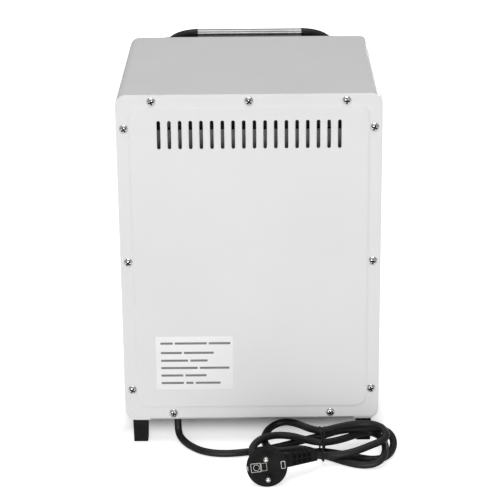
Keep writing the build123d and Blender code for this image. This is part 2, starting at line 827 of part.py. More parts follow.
with BuildPart() as timer_body:
    with BuildSketch(facing_front(liner_front_y)):
        with Locations((control_x, control_z)):
            Circle(timer_diameter / 2)
    extrude(amount=-timer_depth)
    timer_edge = timer_body.faces().sort_by(Axis.Y)[-1]
    chamfer(timer_edge.edges(), control_plate)
    with BuildSketch(facing_front(liner_front_y)):
        with Locations((control_x, control_z)):
            Circle(neck_diameter / 2)
    extrude(amount=liner_front_y - neck_front_y)
    with BuildSketch(facing_front(neck_front_y)):
        with Locations((control_x, control_z)):
            Circle(shaft_diameter / 2 + shaft_gap)
    extrude(amount=-(liner_front_y - neck_front_y + shaft_tail), mode=Mode.SUBTRACT)
timer_body.part.label = "timer_body"
export_step(timer_body.part, "parts/timer_body.step")

with BuildPart() as control_nuts:
    with BuildSketch(facing_front(fascia_front_y)):
        with Locations(*sides(control_x, control_z)):
            RegularPolygon(nut_width / 2, side_count=6, major_radius=False)
            Circle(neck_diameter / 2 + shaft_gap, mode=Mode.SUBTRACT)
    extrude(amount=nut_height)
control_nuts.part.label = "control_nuts"
export_step(control_nuts.part, "parts/control_nuts.step")


def make_shaft(x):
    """A control shaft, from inside its body to inside its knob."""
    with BuildPart() as shaft:
        with BuildSketch(facing_front(liner_front_y + shaft_tail - seat_gap)):
            with Locations((x, control_z)):
                Circle(shaft_diameter / 2)
        extrude(amount=liner_front_y + shaft_tail - seat_gap - (knob_back_y - shaft_in_knob))
    return shaft


thermostat_shaft = make_shaft(-control_x)
thermostat_shaft.part.label = "thermostat_shaft"
export_step(thermostat_shaft.part, "parts/thermostat_shaft.step")

timer_shaft = make_shaft(control_x)
timer_shaft.part.label = "timer_shaft"
export_step(timer_shaft.part, "parts/timer_shaft.step")


def make_knob(x):
    """A fluted knob with a skirt, a pointer rib and a blind bore for its shaft."""
    body_back_y = knob_back_y - knob_skirt_depth
    bore_depth = shaft_in_knob + seat_gap
    with BuildPart() as knob:
        with BuildSketch(facing_front(body_back_y)):
            with Locations((x, control_z)):
                Circle(knob_diameter / 2)
                with PolarLocations(knob_diameter / 2, flute_count):
                    Circle(flute_diameter / 2, mode=Mode.SUBTRACT)
        extrude(amount=knob_depth, taper=knob_taper)
        with BuildSketch(facing_front(knob_back_y)):
            with Locations((x, control_z)):
                Circle(knob_skirt / 2)
        extrude(amount=knob_skirt_depth)
        skirt_edge = knob.edges().filter_by(GeomType.CIRCLE).sort_by(SortBy.LENGTH)[-2:].sort_by(Axis.Y)[0]
        fillet(skirt_edge, knob_edge)
        with BuildSketch(facing_front(knob_front_y)):
            with Locations((x, control_z)):
                Rectangle(rib_width, knob_diameter / 2 - rib_width, align=(Align.CENTER, Align.MIN))
        extrude(amount=rib_rise)
        with BuildSketch(facing_front(knob_back_y)):
            with Locations((x, control_z)):
                Circle(knob_recess / 2)
        extrude(amount=knob_recess_depth, mode=Mode.SUBTRACT)
        with BuildSketch(facing_front(knob_back_y)):
            with Locations((x, control_z)):
                Circle(shaft_diameter / 2 + shaft_gap)
        extrude(amount=bore_depth, mode=Mode.SUBTRACT)
    return knob


temperature_knob = make_knob(-control_x)
temperature_knob.part.label = "temperature_knob"
export_step(temperature_knob.part, "parts/temperature_knob.step")

timer_knob = make_knob(control_x)
timer_knob.part.label = "timer_knob"
export_step(timer_knob.part, "parts/timer_knob.step")

# Pilot lamp: domed lens in front of the fascia, holder behind the frame
with BuildPart() as lamp_lens:
    with BuildSketch(facing_front(fascia_front_y)):
        with Locations((0, lamp_z)):
            Circle(lamp_diameter / 2)
    extrude(amount=lamp_rise)
    lens_face = lamp_lens.faces().sort_by(Axis.Y)[0]
    fillet(lens_face.edges(), lamp_dome)
lamp_lens.part.label = "lamp_lens"
export_step(lamp_lens.part, "parts/lamp_lens.step")

with BuildPart() as lamp_holder:
    with BuildSketch(facing_front(fascia_front_y)):
        with Locations((0, lamp_z)):
            Circle(lamp_neck / 2)
    extrude(amount=-(fascia_gauge + frame_gauge))
    with BuildSketch(facing_front(liner_front_y)):
        with Locations((0, lamp_z)):
            Circle(lamp_flange / 2)
    extrude(amount=-control_plate)
    with BuildSketch(facing_front(liner_front_y)):
        with Locations((0, lamp_z)):
            Circle(lamp_body / 2)
    extrude(amount=-lamp_length)
lamp_holder.part.label = "lamp_holder"
export_step(lamp_holder.part, "parts/lamp_holder.step")

# Terminal block on the pan, grooved between its poles
with BuildPart() as terminal_block:
    with BuildSketch(Plane.XY.offset(pan_z + pan_gauge)):
        with Locations((terminal_x, terminal_y)):
            Rectangle(terminal_width, terminal_depth)
    extrude(amount=terminal_height)
    with BuildSketch(Plane.XY.offset(pan_z + pan_gauge + terminal_height)):
        with Locations((terminal_x, terminal_y)):
            with GridLocations(terminal_width / terminal_poles, 0, terminal_poles - 1, 1):
                Rectangle(terminal_groove / 2, terminal_depth)
    extrude(amount=-terminal_height / 2, mode=Mode.SUBTRACT)
    with BuildSketch(Plane.XY.offset(pan_z + pan_gauge + terminal_height)):
        with Locations((terminal_x, terminal_y)):
            with GridLocations(terminal_width / terminal_poles, terminal_depth / 2, terminal_poles, 2):
                Circle(terminal_groove / 2)
    extrude(amount=-terminal_height / 2, mode=Mode.SUBTRACT)
terminal_block.part.label = "terminal_block"
export_step(terminal_block.part, "parts/terminal_block.step")

# Door frame: pressed pan with a rounded top, a window and bosses for the hinge pins.
# Its lower back edge is rolled round the pivot, so it turns clear of the front frame.
window_height = window_top_z - window_bottom_z
window_mid_z = (window_top_z + window_bottom_z) / 2
inner_panel_y = door_back_y - inner_panel_recess
handle_bar_y = door_front_y - bar_stand_off
handle_bar_z = door_top_z - bar_below_door_top
elbow_x = bar_visible / 2 + elbow_radius
elbow_foot_z = handle_bar_z - elbow_radius * sin(radians(elbow_droop))
inner_panel_width = door_width - 2 * (door_wall + seat_gap)
inner_panel_bottom_z = pivot_z + inner_panel_lift
boss_inner_x = door_width / 2 - door_wall / 2 - pin_in_door - door_wall / 2
notch_top_z = pivot_z + pin_boss / 2 + seat_gap
notch_x = boss_inner_x - seat_gap
inner_panel_top_z = door_top_z - door_wall - seat_gap
inner_panel_corner = door_top_corner - door_wall - seat_gap
inner_panel_mid_z = (inner_panel_top_z + inner_panel_bottom_z) / 2
inner_screw_x = inner_panel_width / 2 - inner_screw_inset
corner_screw_shift = inner_panel_corner - (inner_panel_corner - inner_screw_inset) * cos(radians(45))
corner_screw_x = inner_panel_width / 2 - corner_screw_shift
corner_screw_z = inner_panel_top_z - corner_screw_shift
inner_screw_places = (sides(inner_screw_x, notch_top_z + inner_screw_lift)
                      + sides(inner_screw_x, inner_panel_mid_z)
                      + sides(corner_screw_x, corner_screw_z))


def door_outline(inset):
    """The door's outline on its plane, drawn inwards by inset."""
    half = door_width / 2 - inset
    top = door_top_z - inset
    bottom = door_bottom_z + inset
    top_radius = door_top_corner - inset
    bottom_radius = door_bottom_corner - inset
    with BuildSketch() as outline:
        with BuildLine():
            FilletPolyline((half, bottom), (half, top), (-half, top), (-half, bottom),
                           radius=(bottom_radius, top_radius, top_radius, bottom_radius), close=True)
        make_face()
    return outline.sketch


with BuildPart() as door_roll:
    with BuildSketch(Plane.YZ.offset(-door_width / 2)):
        with Locations((pivot_y, pivot_z)):
            Circle(pivot_back)
            Circle(pivot_back - door_wall, mode=Mode.SUBTRACT)
            Rectangle(pivot_back, pivot_back, align=(Align.MIN, Align.MAX), mode=Mode.INTERSECT)
    extrude(amount=door_width)
    with BuildSketch(facing_front(door_back_y)):
        add(door_outline(0))
    extrude(amount=door_thickness, mode=Mode.INTERSECT)

with BuildPart() as door_frame:
    with BuildSketch(facing_front(door_back_y)):
        add(door_outline(0))
    extrude(amount=door_thickness)
    front_rim = door_frame.faces().sort_by(Axis.Y)[0].edges()
    fillet(front_rim, door_front_round)
    with BuildSketch(facing_front(door_back_y)):
        add(door_outline(door_wall))
    extrude(amount=door_thickness - door_wall, mode=Mode.SUBTRACT)
    with BuildSketch(Plane.YZ.offset(-door_width / 2)):
        with Locations((pivot_y, pivot_z)):
            Rectangle(2 * pivot_back, 2 * pivot_back, align=(Align.MIN, Align.MAX))
            Circle(pivot_back, mode=Mode.SUBTRACT)
    extrude(amount=door_width, mode=Mode.SUBTRACT)
    add(door_roll.part)
    with BuildSketch(facing_front(door_front_y)):
        with Locations((0, window_mid_z)):
            RectangleRounded(window_width, window_height, window_corner)
    extrude(amount=-door_wall, mode=Mode.SUBTRACT)
    window_rim = door_frame.faces().sort_by(Axis.Y)[0].inner_wires()[0].edges()
    chamfer(window_rim, window_bevel)
    for side in (-1, 1):
        wall_x = side * (door_width / 2 - door_wall / 2)
        with BuildSketch(Plane.YZ.offset(wall_x)):
            with Locations((pivot_y, pivot_z)):
                Circle(pin_boss / 2)
        extrude(amount=-side * (pin_in_door + door_wall / 2))
        with BuildSketch(Plane.YZ.offset(side * door_width / 2)):
            with Locations((pivot_y, pivot_z)):
                Circle(pin_diameter / 2 + shaft_gap)
        extrude(amount=-side * (pin_in_door + seat_gap), mode=Mode.SUBTRACT)
    with BuildSketch(facing_front(door_front_y + door_wall)):
        with Locations(*inner_screw_places):
            Circle(boss_diameter / 2)
    extrude(amount=-(inner_panel_y - inner_panel_gauge - door_front_y - door_wall))
    with BuildSketch(facing_front(door_front_y + door_wall)):
        with Locations(*inner_screw_places):
            Circle(inner_screw_shank / 2 + shaft_gap)
    extrude(amount=-door_thickness, mode=Mode.SUBTRACT)
    with BuildSketch(facing_front(door_front_y)):
        with Locations(*sides(elbow_x, elbow_foot_z)):
            Circle(handle_screw_shank / 2 + fit_gap)
    extrude(amount=-door_wall, mode=Mode.SUBTRACT)
door_frame.part.label = "door_frame"
export_step(door_frame.part, "parts/door_frame.step")

# Glass pane behind the window, held by the inner panel
glass_y = door_front_y + door_wall + shaft_gap
with BuildPart() as door_glass:
    with BuildSketch(facing_front(glass_y + glass_gauge)):
        with Locations((0, window_mid_z)):
            RectangleRounded(window_width + 2 * glass_lap, window_height + 2 * glass_lap, window_corner / 2)
    extrude(amount=glass_gauge)
door_glass.part.label = "door_glass"
export_step(door_glass.part, "parts/door_glass.step")

# Inner panel: closes the door, with a collar that presses on the glass
inner_window_width = window_width - 2 * inner_window_inset
inner_window_height = window_height - 2 * inner_window_inset
collar_front_y = glass_y + glass_gauge + shaft_gap
with BuildPart() as door_inner_panel:
    with BuildSketch(facing_front(inner_panel_y)):
        with BuildLine():
            half = inner_panel_width / 2
            low, high = inner_panel_bottom_z, inner_panel_top_z
            corner_radii = (door_bottom_corner, inner_panel_corner, inner_panel_corner, door_bottom_corner)
            FilletPolyline((half, low), (half, high), (-half, high), (-half, low), close=True,
                           radius=corner_radii)
        make_face()
    extrude(amount=inner_panel_gauge)
    with BuildSketch(facing_front(inner_panel_y)):
        for side in (-1, 1):
            edge_align = Align.MIN if side > 0 else Align.MAX
            with Locations((side * notch_x, notch_top_z)):
                Rectangle(door_width / 2, pin_boss, align=(edge_align, Align.MAX))
    extrude(amount=inner_panel_gauge, mode=Mode.SUBTRACT)
    with BuildSketch(facing_front(inner_panel_y)):
        with Locations((0, window_mid_z)):
            RectangleRounded(inner_window_width + 2 * inner_panel_gauge,
                             inner_window_height + 2 * inner_panel_gauge, window_corner)
    extrude(amount=inner_panel_y - collar_front_y)
    with BuildSketch(facing_front(inner_panel_y)):
        with Locations((0, window_mid_z)):
            RectangleRounded(inner_window_width, inner_window_height, window_corner - inner_panel_gauge)
    extrude(amount=inner_panel_y - collar_front_y, mode=Mode.SUBTRACT)
    with BuildSketch(facing_front(inner_panel_y)):
        with Locations(*inner_screw_places):
            Circle(inner_screw_shank / 2 + fit_gap)
    extrude(amount=inner_panel_gauge, mode=Mode.SUBTRACT)
door_inner_panel.part.label = "door_inner_panel"
export_step(door_inner_panel.part, "parts/door_inner_panel.step")

with BuildPart() as door_inner_screws:
    with BuildSketch(facing_front(inner_panel_y)):
        with Locations(*inner_screw_places):
            Circle(inner_screw_head / 2)
    extrude(amount=-inner_screw_rise)
    with BuildSketch(facing_front(inner_panel_y)):
        with Locations(*inner_screw_places):
            Circle(inner_screw_shank / 2)
    extrude(amount=inner_panel_y - door_front_y - door_wall - seat_gap)
door_inner_screws.part.label = "door_inner_screws"
export_step(door_inner_screws.part, "parts/door_inner_screws.step")

# Door seal: silicone frame on the inner panel that closes on the front frame
seal_depth = inner_panel_recess + door_stand_off - seat_gap
with BuildPart() as door_seal:
    with BuildSketch(facing_front(inner_panel_y)):
        with Locations((0, chamber_mid_z)):
            RectangleRounded(chamber_width + 2 * seal_outer_lap, chamber_height + 2 * seal_outer_lap,
                             chamber_corner + seal_outer_lap)
            RectangleRounded(chamber_width - 2 * seal_inner_lap, chamber_height - 2 * seal_inner_lap,
                             chamber_corner - seal_inner_lap, mode=Mode.SUBTRACT)
    extrude(amount=-seal_depth)
door_seal.part.label = "door_seal"
export_step(door_seal.part, "parts/door_seal.step")

# Hinges: bracket noses beside the door's lower corners, with steel pins
bracket_pin_reach = bracket_width - seat_gap


def make_bracket(side):
    """One hinge bracket on the frame, its nose round the pivot."""
    inner_x = side * (door_width / 2 + bracket_gap)
    with BuildPart() as bracket:
        with BuildSketch(Plane.YZ.offset(inner_x)):
            with BuildLine():
                Polyline((bezel_front_y, pivot_z - bracket_root_height / 2),
                         (bezel_front_y, pivot_z + bracket_root_height / 2),
                         (pivot_y, pivot_z + bracket_nose), (pivot_y, pivot_z - bracket_nose), close=True)
            make_face()
            with Locations((pivot_y, pivot_z)):
                Circle(bracket_nose)
        extrude(amount=side * bracket_width)
        with BuildSketch(Plane.YZ.offset(inner_x)):
            with Locations((pivot_y, pivot_z)):
                Circle(pin_diameter / 2 + shaft_gap)
        extrude(amount=side * bracket_pin_reach, mode=Mode.SUBTRACT)
        with BuildSketch(facing_front(bezel_front_y)):
            with Locations(*bracket_screw_places):
                Circle(bracket_screw_shank / 2 + shaft_gap)
        extrude(amount=bracket_screw_reach - frame_gauge + seat_gap, mode=Mode.SUBTRACT)
    return bracket


def make_pin(side):
    """One hinge pin, from the bracket into the door's boss."""
    with BuildPart() as pin:
        with BuildSketch(Plane.YZ.offset(side * (door_width / 2 - pin_in_door))):
            with Locations((pivot_y, pivot_z)):
                Circle(pin_diameter / 2)
        extrude(amount=side * (pin_in_door + bracket_gap + bracket_pin_reach - seat_gap))
    return pin


for side, side_name in ((-1, "right"), (1, "left")):
    bracket = make_bracket(side)
    bracket.part.label = f"hinge_bracket_{side_name}"
    export_step(bracket.part, f"parts/hinge_bracket_{side_name}.step")
    pin = make_pin(side)
    pin.part.label = f"hinge_pin_{side_name}"
    export_step(pin.part, f"parts/hinge_pin_{side_name}.step")

with BuildPart() as hinge_bracket_screws:
    with BuildSketch(facing_front(liner_front_y)):
        with Locations(*bracket_screw_places):
            Circle(bracket_screw_head / 2)
    extrude(amount=-bracket_screw_rise)
    with BuildSketch(facing_front(liner_front_y)):
        with Locations(*bracket_screw_places):
            Circle(bracket_screw_shank / 2)
    extrude(amount=bracket_screw_reach)
hinge_bracket_screws.part.label = "hinge_bracket_screws"
export_step(hinge_bracket_screws.part, "parts/hinge_bracket_screws.step")

# Handle: steel bar between two swept elbows that curve back and down to the door
with BuildPart() as handle_bar:
    with BuildSketch(Plane.YZ.offset(-bar_visible / 2)):
        with Locations((handle_bar_y, handle_bar_z)):
            Circle(bar_diameter / 2)
    extrude(amount=bar_visible)
    with BuildSketch(Plane.YZ.offset(-bar_visible / 2 - spigot_length)):
        with Locations((handle_bar_y, handle_bar_z)):
            Circle(spigot_diameter / 2)
    extrude(amount=bar_visible + 2 * spigot_length)
handle_bar.part.label = "handle_bar"
export_step(handle_bar.part, "parts/handle_bar.step")


def make_elbow(side):
    """One plastic elbow: a quarter bend with a pad on the door."""
    start = Vector(side * bar_visible / 2, handle_bar_y, handle_bar_z)
    back_and_down = Vector(0, cos(radians(elbow_droop)), -sin(radians(elbow_droop)))
    outward = Vector(side, 0, 0)
    half_turn = radians(45)
    half_way = elbow_radius * (1 - cos(half_turn))
    middle = start + outward * (elbow_radius * sin(half_turn)) + back_and_down * half_way
    end = start + outward * elbow_radius + back_and_down * elbow_radius
    with BuildPart() as elbow:
        with BuildLine() as route:
            ThreePointArc(start, middle, end)
        with BuildSketch(Plane(origin=start, z_dir=outward)):
            Circle(elbow_diameter / 2)
        sweep(path=route.line)
        with BuildSketch(facing_front(door_front_y)):
            with Locations((side * elbow_x, elbow_foot_z)):
                Ellipse(elbow_pad_width / 2, elbow_pad_height / 2)
        extrude(amount=elbow_pad_depth)
        with BuildSketch(facing_front(door_front_y)):
            with Locations((side * elbow_x, elbow_foot_z)):
                Circle(handle_screw_shank / 2 + shaft_gap)
        extrude(amount=handle_screw_reach + seat_gap, mode=Mode.SUBTRACT)
        with BuildSketch(Plane.YZ.offset(side * bar_visible / 2)):
            with Locations((handle_bar_y, handle_bar_z)):
                Circle(spigot_diameter / 2 + shaft_gap)
        extrude(amount=side * (spigot_length + seat_gap), mode=Mode.SUBTRACT)
        with BuildSketch(facing_front(door_front_y)):
            with Locations((side * elbow_x, elbow_foot_z)):
                Rectangle(3 * elbow_pad_width, 3 * elbow_pad_height)
        extrude(amount=-elbow_diameter, mode=Mode.SUBTRACT)
    return elbow


for side, side_name in ((-1, "right"), (1, "left")):
    elbow = make_elbow(side)
    elbow.part.label = f"handle_elbow_{side_name}"
    export_step(elbow.part, f"parts/handle_elbow_{side_name}.step")

with BuildPart() as handle_screws:
    with BuildSketch(facing_front(door_front_y + door_wall)):
        with Locations(*sides(elbow_x, elbow_foot_z)):
            Circle(handle_screw_head / 2)
    extrude(amount=-handle_screw_rise)
    with BuildSketch(facing_front(door_front_y + door_wall)):
        with Locations(*sides(elbow_x, elbow_foot_z)):
            Circle(handle_screw_shank / 2)
    extrude(amount=door_wall + handle_screw_reach)
handle_screws.part.label = "handle_screws"
export_step(handle_screws.part, "parts/handle_screws.step")

# Cord bush in the base pan
with BuildPart() as cord_bush:
    with BuildSketch(Plane.XY.offset(pan_z)):
        with Locations((cord_exit_x, cord_exit_y)):
            Circle(bush_collar / 2)
            Circle(cord_diameter / 2 + shaft_gap, mode=Mode.SUBTRACT)
    extrude(amount=-bush_collar_height)
    with BuildSketch(Plane.XY.offset(pan_z)):
        with Locations((cord_exit_x, cord_exit_y)):
            Circle(bush_barrel / 2)
            Circle(cord_diameter / 2 + shaft_gap, mode=Mode.SUBTRACT)
    extrude(amount=bush_barrel_height)
cord_bush.part.label = "cord_bush"
export_step(cord_bush.part, "parts/cord_bush.step")

# Mains cord: down from the bush, over the floor and into the tied hank
cord_radius = cord_diameter / 2
lead_points = [
    (cord_exit_x, cord_exit_y, 29.8),
    (cord_exit_x, cord_exit_y, 15.0),
    (73.4, 134.0, 6.6),
    (69.2, 142.5, cord_radius),
    (62.0, 155.5, cord_radius),
    (50.5, 167.6, cord_radius),
    (36.5, 173.6, cord_radius),
    (21.0, 174.2, cord_radius),
    (7.3, 171.6, cord_radius),
]


def bend_radii(points):
    """One radius for each inner point: a share of its shorter run over the tangent of half the turn."""
    radii = []
    for before, here, after in zip(points, points[1:], points[2:]):
        run_in = Vector(*here) - Vector(*before)
        run_out = Vector(*after) - Vector(*here)
        turn = run_in.get_angle(run_out)
        radii.append(bend_share * min(run_in.length, run_out.length) / tan(radians(turn / 2)))
    return radii


lead_radii = bend_radii(lead_points)
print("cord bend radii:", [round(radius, 1) for radius in lead_radii])
with BuildPart() as power_cord_lead:
    with BuildLine() as lead_route:
        FilletPolyline(*lead_points, radius=lead_radii)
    with BuildSketch(Plane(origin=lead_route.line @ 0, z_dir=lead_route.line % 0)):
        Circle(cord_radius)
    sweep(path=lead_route.line)
lead_length = lead_route.wire().length
lead_fill = power_cord_lead.part.volume / (pi * cord_radius ** 2 * lead_length)
print("cord length:", round(lead_length, 1), "volume over section times length:", round(lead_fill, 4))
power_cord_lead.part.label = "power_cord_lead"
export_step(power_cord_lead.part, "parts/power_cord_lead.step")

# Plug: round face leaning back on its rim, body behind, side relief for the cord
plug_up = Vector(0, -sin(radians(plug_tilt)), cos(radians(plug_tilt)))
plug_out = Vector(0, cos(radians(plug_tilt)), sin(radians(plug_tilt)))
plug_side = Vector(1, 0, 0) * cos(radians(plug_roll)) - plug_up * sin(radians(plug_roll))
plug_z = plug_face / 2 * cos(radians(plug_tilt)) + plug_rim * sin(radians(plug_tilt)) + shaft_gap
plug_centre = Vector(plug_x, plug_y, plug_z)
plug_plane = Plane(origin=plug_centre, x_dir=plug_side, z_dir=plug_out)
relief_start = Vector(-28.5, 221.5, 19.4)
relief_end = Vector(-60.2, 201.7, 15.4)
relief_axis = relief_end - relief_start
relief_plane = Plane(origin=relief_start, x_dir=relief_axis.cross(Vector(0, 0, 1)), z_dir=relief_axis)
relief_length = relief_axis.length
earth_x = plug_face / 2 - earth_notch_depth
with BuildPart() as plug_body:
    with BuildSketch(plug_plane.offset(-plug_rim_depth)):
        Circle(plug_face / 2 - plug_shoulder)
    with BuildSketch(plug_plane.offset(-plug_body_depth)):
        Circle(plug_back_diameter / 2)
    loft()
    plug_back_edge = plug_body.edges().sort_by_distance(plug_centre)[-1]
    fillet(plug_back_edge, plug_back_round)
    with BuildSketch(plug_plane.offset(-plug_rim)):
        Circle(plug_face / 2)
    with BuildSketch(plug_plane.offset(-plug_rim_depth)):
        Circle(plug_face / 2 - plug_shoulder)
    loft()
    with BuildSketch(plug_plane):
        Circle(plug_face / 2)
    extrude(amount=-plug_rim)
    with BuildSketch(relief_plane.offset(-relief_root)):
        RectangleRounded(relief_start_size, relief_start_size, relief_round)
    with BuildSketch(relief_plane.offset(relief_length)):
        RectangleRounded(relief_end_size, relief_end_size, relief_round)
    loft()
    with BuildSketch(plug_plane):
        with Locations((-earth_x, 0)):
            Rectangle(2 * earth_notch_depth, earth_notch_width, align=(Align.MAX, Align.CENTER))
        with Locations((earth_x, 0)):
            Rectangle(2 * earth_notch_depth, earth_notch_width, align=(Align.MIN, Align.CENTER))
        with Locations((0, pin_spacing / 2), (0, -pin_spacing / 2)):
            Circle(plug_pin_diameter / 2 + shaft_gap)
        with Locations((earth_offset, 0)):
            Circle(earth_hole / 2)
    extrude(amount=-plug_rim_depth, mode=Mode.SUBTRACT)
    for index in range(relief_slots):
        along = relief_slot_first + index * relief_slot_pitch
        with BuildSketch(relief_plane.offset(along)):
            with Locations((relief_start_size / 2, 0), (-relief_start_size / 2, 0)):
                Rectangle(2 * relief_slot_depth, relief_slot_height)
            with Locations((0, relief_start_size / 2), (0, -relief_start_size / 2)):
                Rectangle(relief_slot_height, 2 * relief_slot_depth)
        extrude(amount=relief_slot_width, mode=Mode.SUBTRACT)
plug_body.part.label = "plug_body"
export_step(plug_body.part, "parts/plug_body.step")

with BuildPart() as plug_pins:
    with BuildSketch(plug_plane.offset(plug_pin_length)):
        with Locations((0, pin_spacing / 2), (0, -pin_spacing / 2)):
            Circle(plug_pin_diameter / 2)
    extrude(amount=-(plug_pin_length + plug_rim_depth - seat_gap))
    pin_tips = plug_pins.faces().sort_by_distance(plug_centre + plug_out * plug_pin_length * 2)[0:2]
    fillet(pin_tips.edges(), plug_pin_tip)
plug_pins.part.label = "plug_pins"
export_step(plug_pins.part, "parts/plug_pins.step")

with BuildPart() as plug_earth_contacts:
    with BuildSketch(plug_plane.offset(-earth_strip)):
        with Locations((-earth_x - seat_gap, 0)):
            Rectangle(earth_strip, earth_notch_width - 2 * seat_gap, align=(Align.MAX, Align.CENTER))
        with Locations((earth_x + seat_gap, 0)):
            Rectangle(earth_strip, earth_notch_width - 2 * seat_gap, align=(Align.MIN, Align.CENTER))
        with Locations((earth_offset, 0)):
            Circle(earth_hole / 2 - shaft_gap)
            Circle(earth_hole / 2 - earth_strip, mode=Mode.SUBTRACT)
    extrude(amount=-(plug_rim_depth - earth_strip - seat_gap))
plug_earth_contacts.part.label = "plug_earth_contacts"
export_step(plug_earth_contacts.part, "parts/plug_earth_contacts.step")

# Hank: the outer shape of the looped cord, with flat faces for the lead and for the plug's relief
hank_outline = [
    (10.0, 172.0), (5.0, 164.5), (-7.0, 158.0), (-10.5, 144.0), (-18.0, 130.5), (-30.0, 127.0),
    (-42.0, 131.5), (-54.0, 144.5), (-67.0, 156.0), (-80.0, 151.5), (-95.0, 146.3), (-112.0, 142.0),
    (-130.0, 142.3), (-140.5, 149.5), (-143.5, 165.0), (-140.5, 180.5), (-133.0, 196.0),
    (-121.0, 206.0), (-106.0, 205.5), (-92.0, 200.8), (-80.0, 199.5), (-68.0, 207.0),
    (-58.0, 201.0), (-53.0, 187.0), (-40.0, 193.5), (-28.0, 202.5), (-12.0, 205.5),
    (0.5, 200.0), (6.0, 188.0),
]
lead_end = Vector(*lead_points[-1])
lead_out = Vector(*lead_points[-2]) - lead_end
with BuildPart() as power_cord_hank:
    with BuildSketch(Plane.XY):
        with BuildLine():
            Spline(*hank_outline, periodic=True)
        make_face()
    extrude(amount=hank_height)
    top_edges = power_cord_hank.faces().sort_by(Axis.Z)[-1].edges()
    fillet(top_edges, hank_edge)
    with BuildSketch(Plane(origin=lead_end, z_dir=lead_out)):
        Rectangle(hank_cut, hank_cut)
    extrude(amount=hank_cut, mode=Mode.SUBTRACT)
    with BuildSketch(relief_plane.offset(relief_length)):
        Rectangle(hank_cut, hank_cut)
    extrude(amount=-hank_cut, mode=Mode.SUBTRACT)
    with BuildSketch(Plane.XY):
        with Locations((tie_x, (waist_front_y + waist_rear_y) / 2)):
            Rectangle(tie_width + 2 * seat_gap, waist_rear_y - waist_front_y)
    extrude(amount=tie_gauge + seat_gap, mode=Mode.SUBTRACT)
power_cord_hank.part.label = "power_cord_hank"
export_step(power_cord_hank.part, "parts/power_cord_hank.step")

# Tie round the hank's waist, a flat band in a shallow groove
with BuildPart() as cord_tie:
    with BuildSketch(Plane.YZ.offset(tie_x - tie_width / 2)):
        with Locations(((waist_front_y + waist_rear_y) / 2, tie_height / 2 + shaft_gap)):
            Rectangle(waist_rear_y - waist_front_y + 2 * tie_gauge, tie_height)
            Rectangle(waist_rear_y - waist_front_y, tie_height - 2 * tie_gauge, mode=Mode.SUBTRACT)
    extrude(amount=tie_width)
cord_tie.part.label = "cord_tie"
export_step(cord_tie.part, "parts/cord_tie.step")
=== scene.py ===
"""Looks of a small upright dry heat sterilizer, seen from behind on a pale floor.

Lengths are in millimetres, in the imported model's own frame, and turn into metres
where a mesh or a curve is made.
"""
import logging
from collections.abc import Iterable, Sequence
from dataclasses import dataclass
from enum import Enum
from math import cos, pi, radians, sin, tau

import bmesh
import bpy
from mathutils import Matrix, Vector


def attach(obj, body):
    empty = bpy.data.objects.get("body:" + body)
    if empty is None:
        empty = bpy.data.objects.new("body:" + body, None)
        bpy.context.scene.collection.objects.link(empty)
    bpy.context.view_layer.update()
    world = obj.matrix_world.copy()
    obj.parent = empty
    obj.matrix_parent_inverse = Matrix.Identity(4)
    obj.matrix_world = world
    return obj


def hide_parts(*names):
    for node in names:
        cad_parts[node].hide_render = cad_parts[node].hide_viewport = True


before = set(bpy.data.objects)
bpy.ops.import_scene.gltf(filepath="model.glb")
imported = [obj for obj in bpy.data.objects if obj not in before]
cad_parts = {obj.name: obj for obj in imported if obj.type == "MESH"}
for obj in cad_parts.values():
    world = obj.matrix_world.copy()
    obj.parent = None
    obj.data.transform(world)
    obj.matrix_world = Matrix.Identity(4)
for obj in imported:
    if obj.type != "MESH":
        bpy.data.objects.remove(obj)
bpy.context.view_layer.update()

log = logging.getLogger("sterilizer")

MM = 0.001
Spot = tuple[float, float]
Point = tuple[float, float, float]


class Body(Enum):
    """The bodies that the pieces built here ride on."""

    CABINET = "cabinet"
    DOOR = "door"


# Finishes


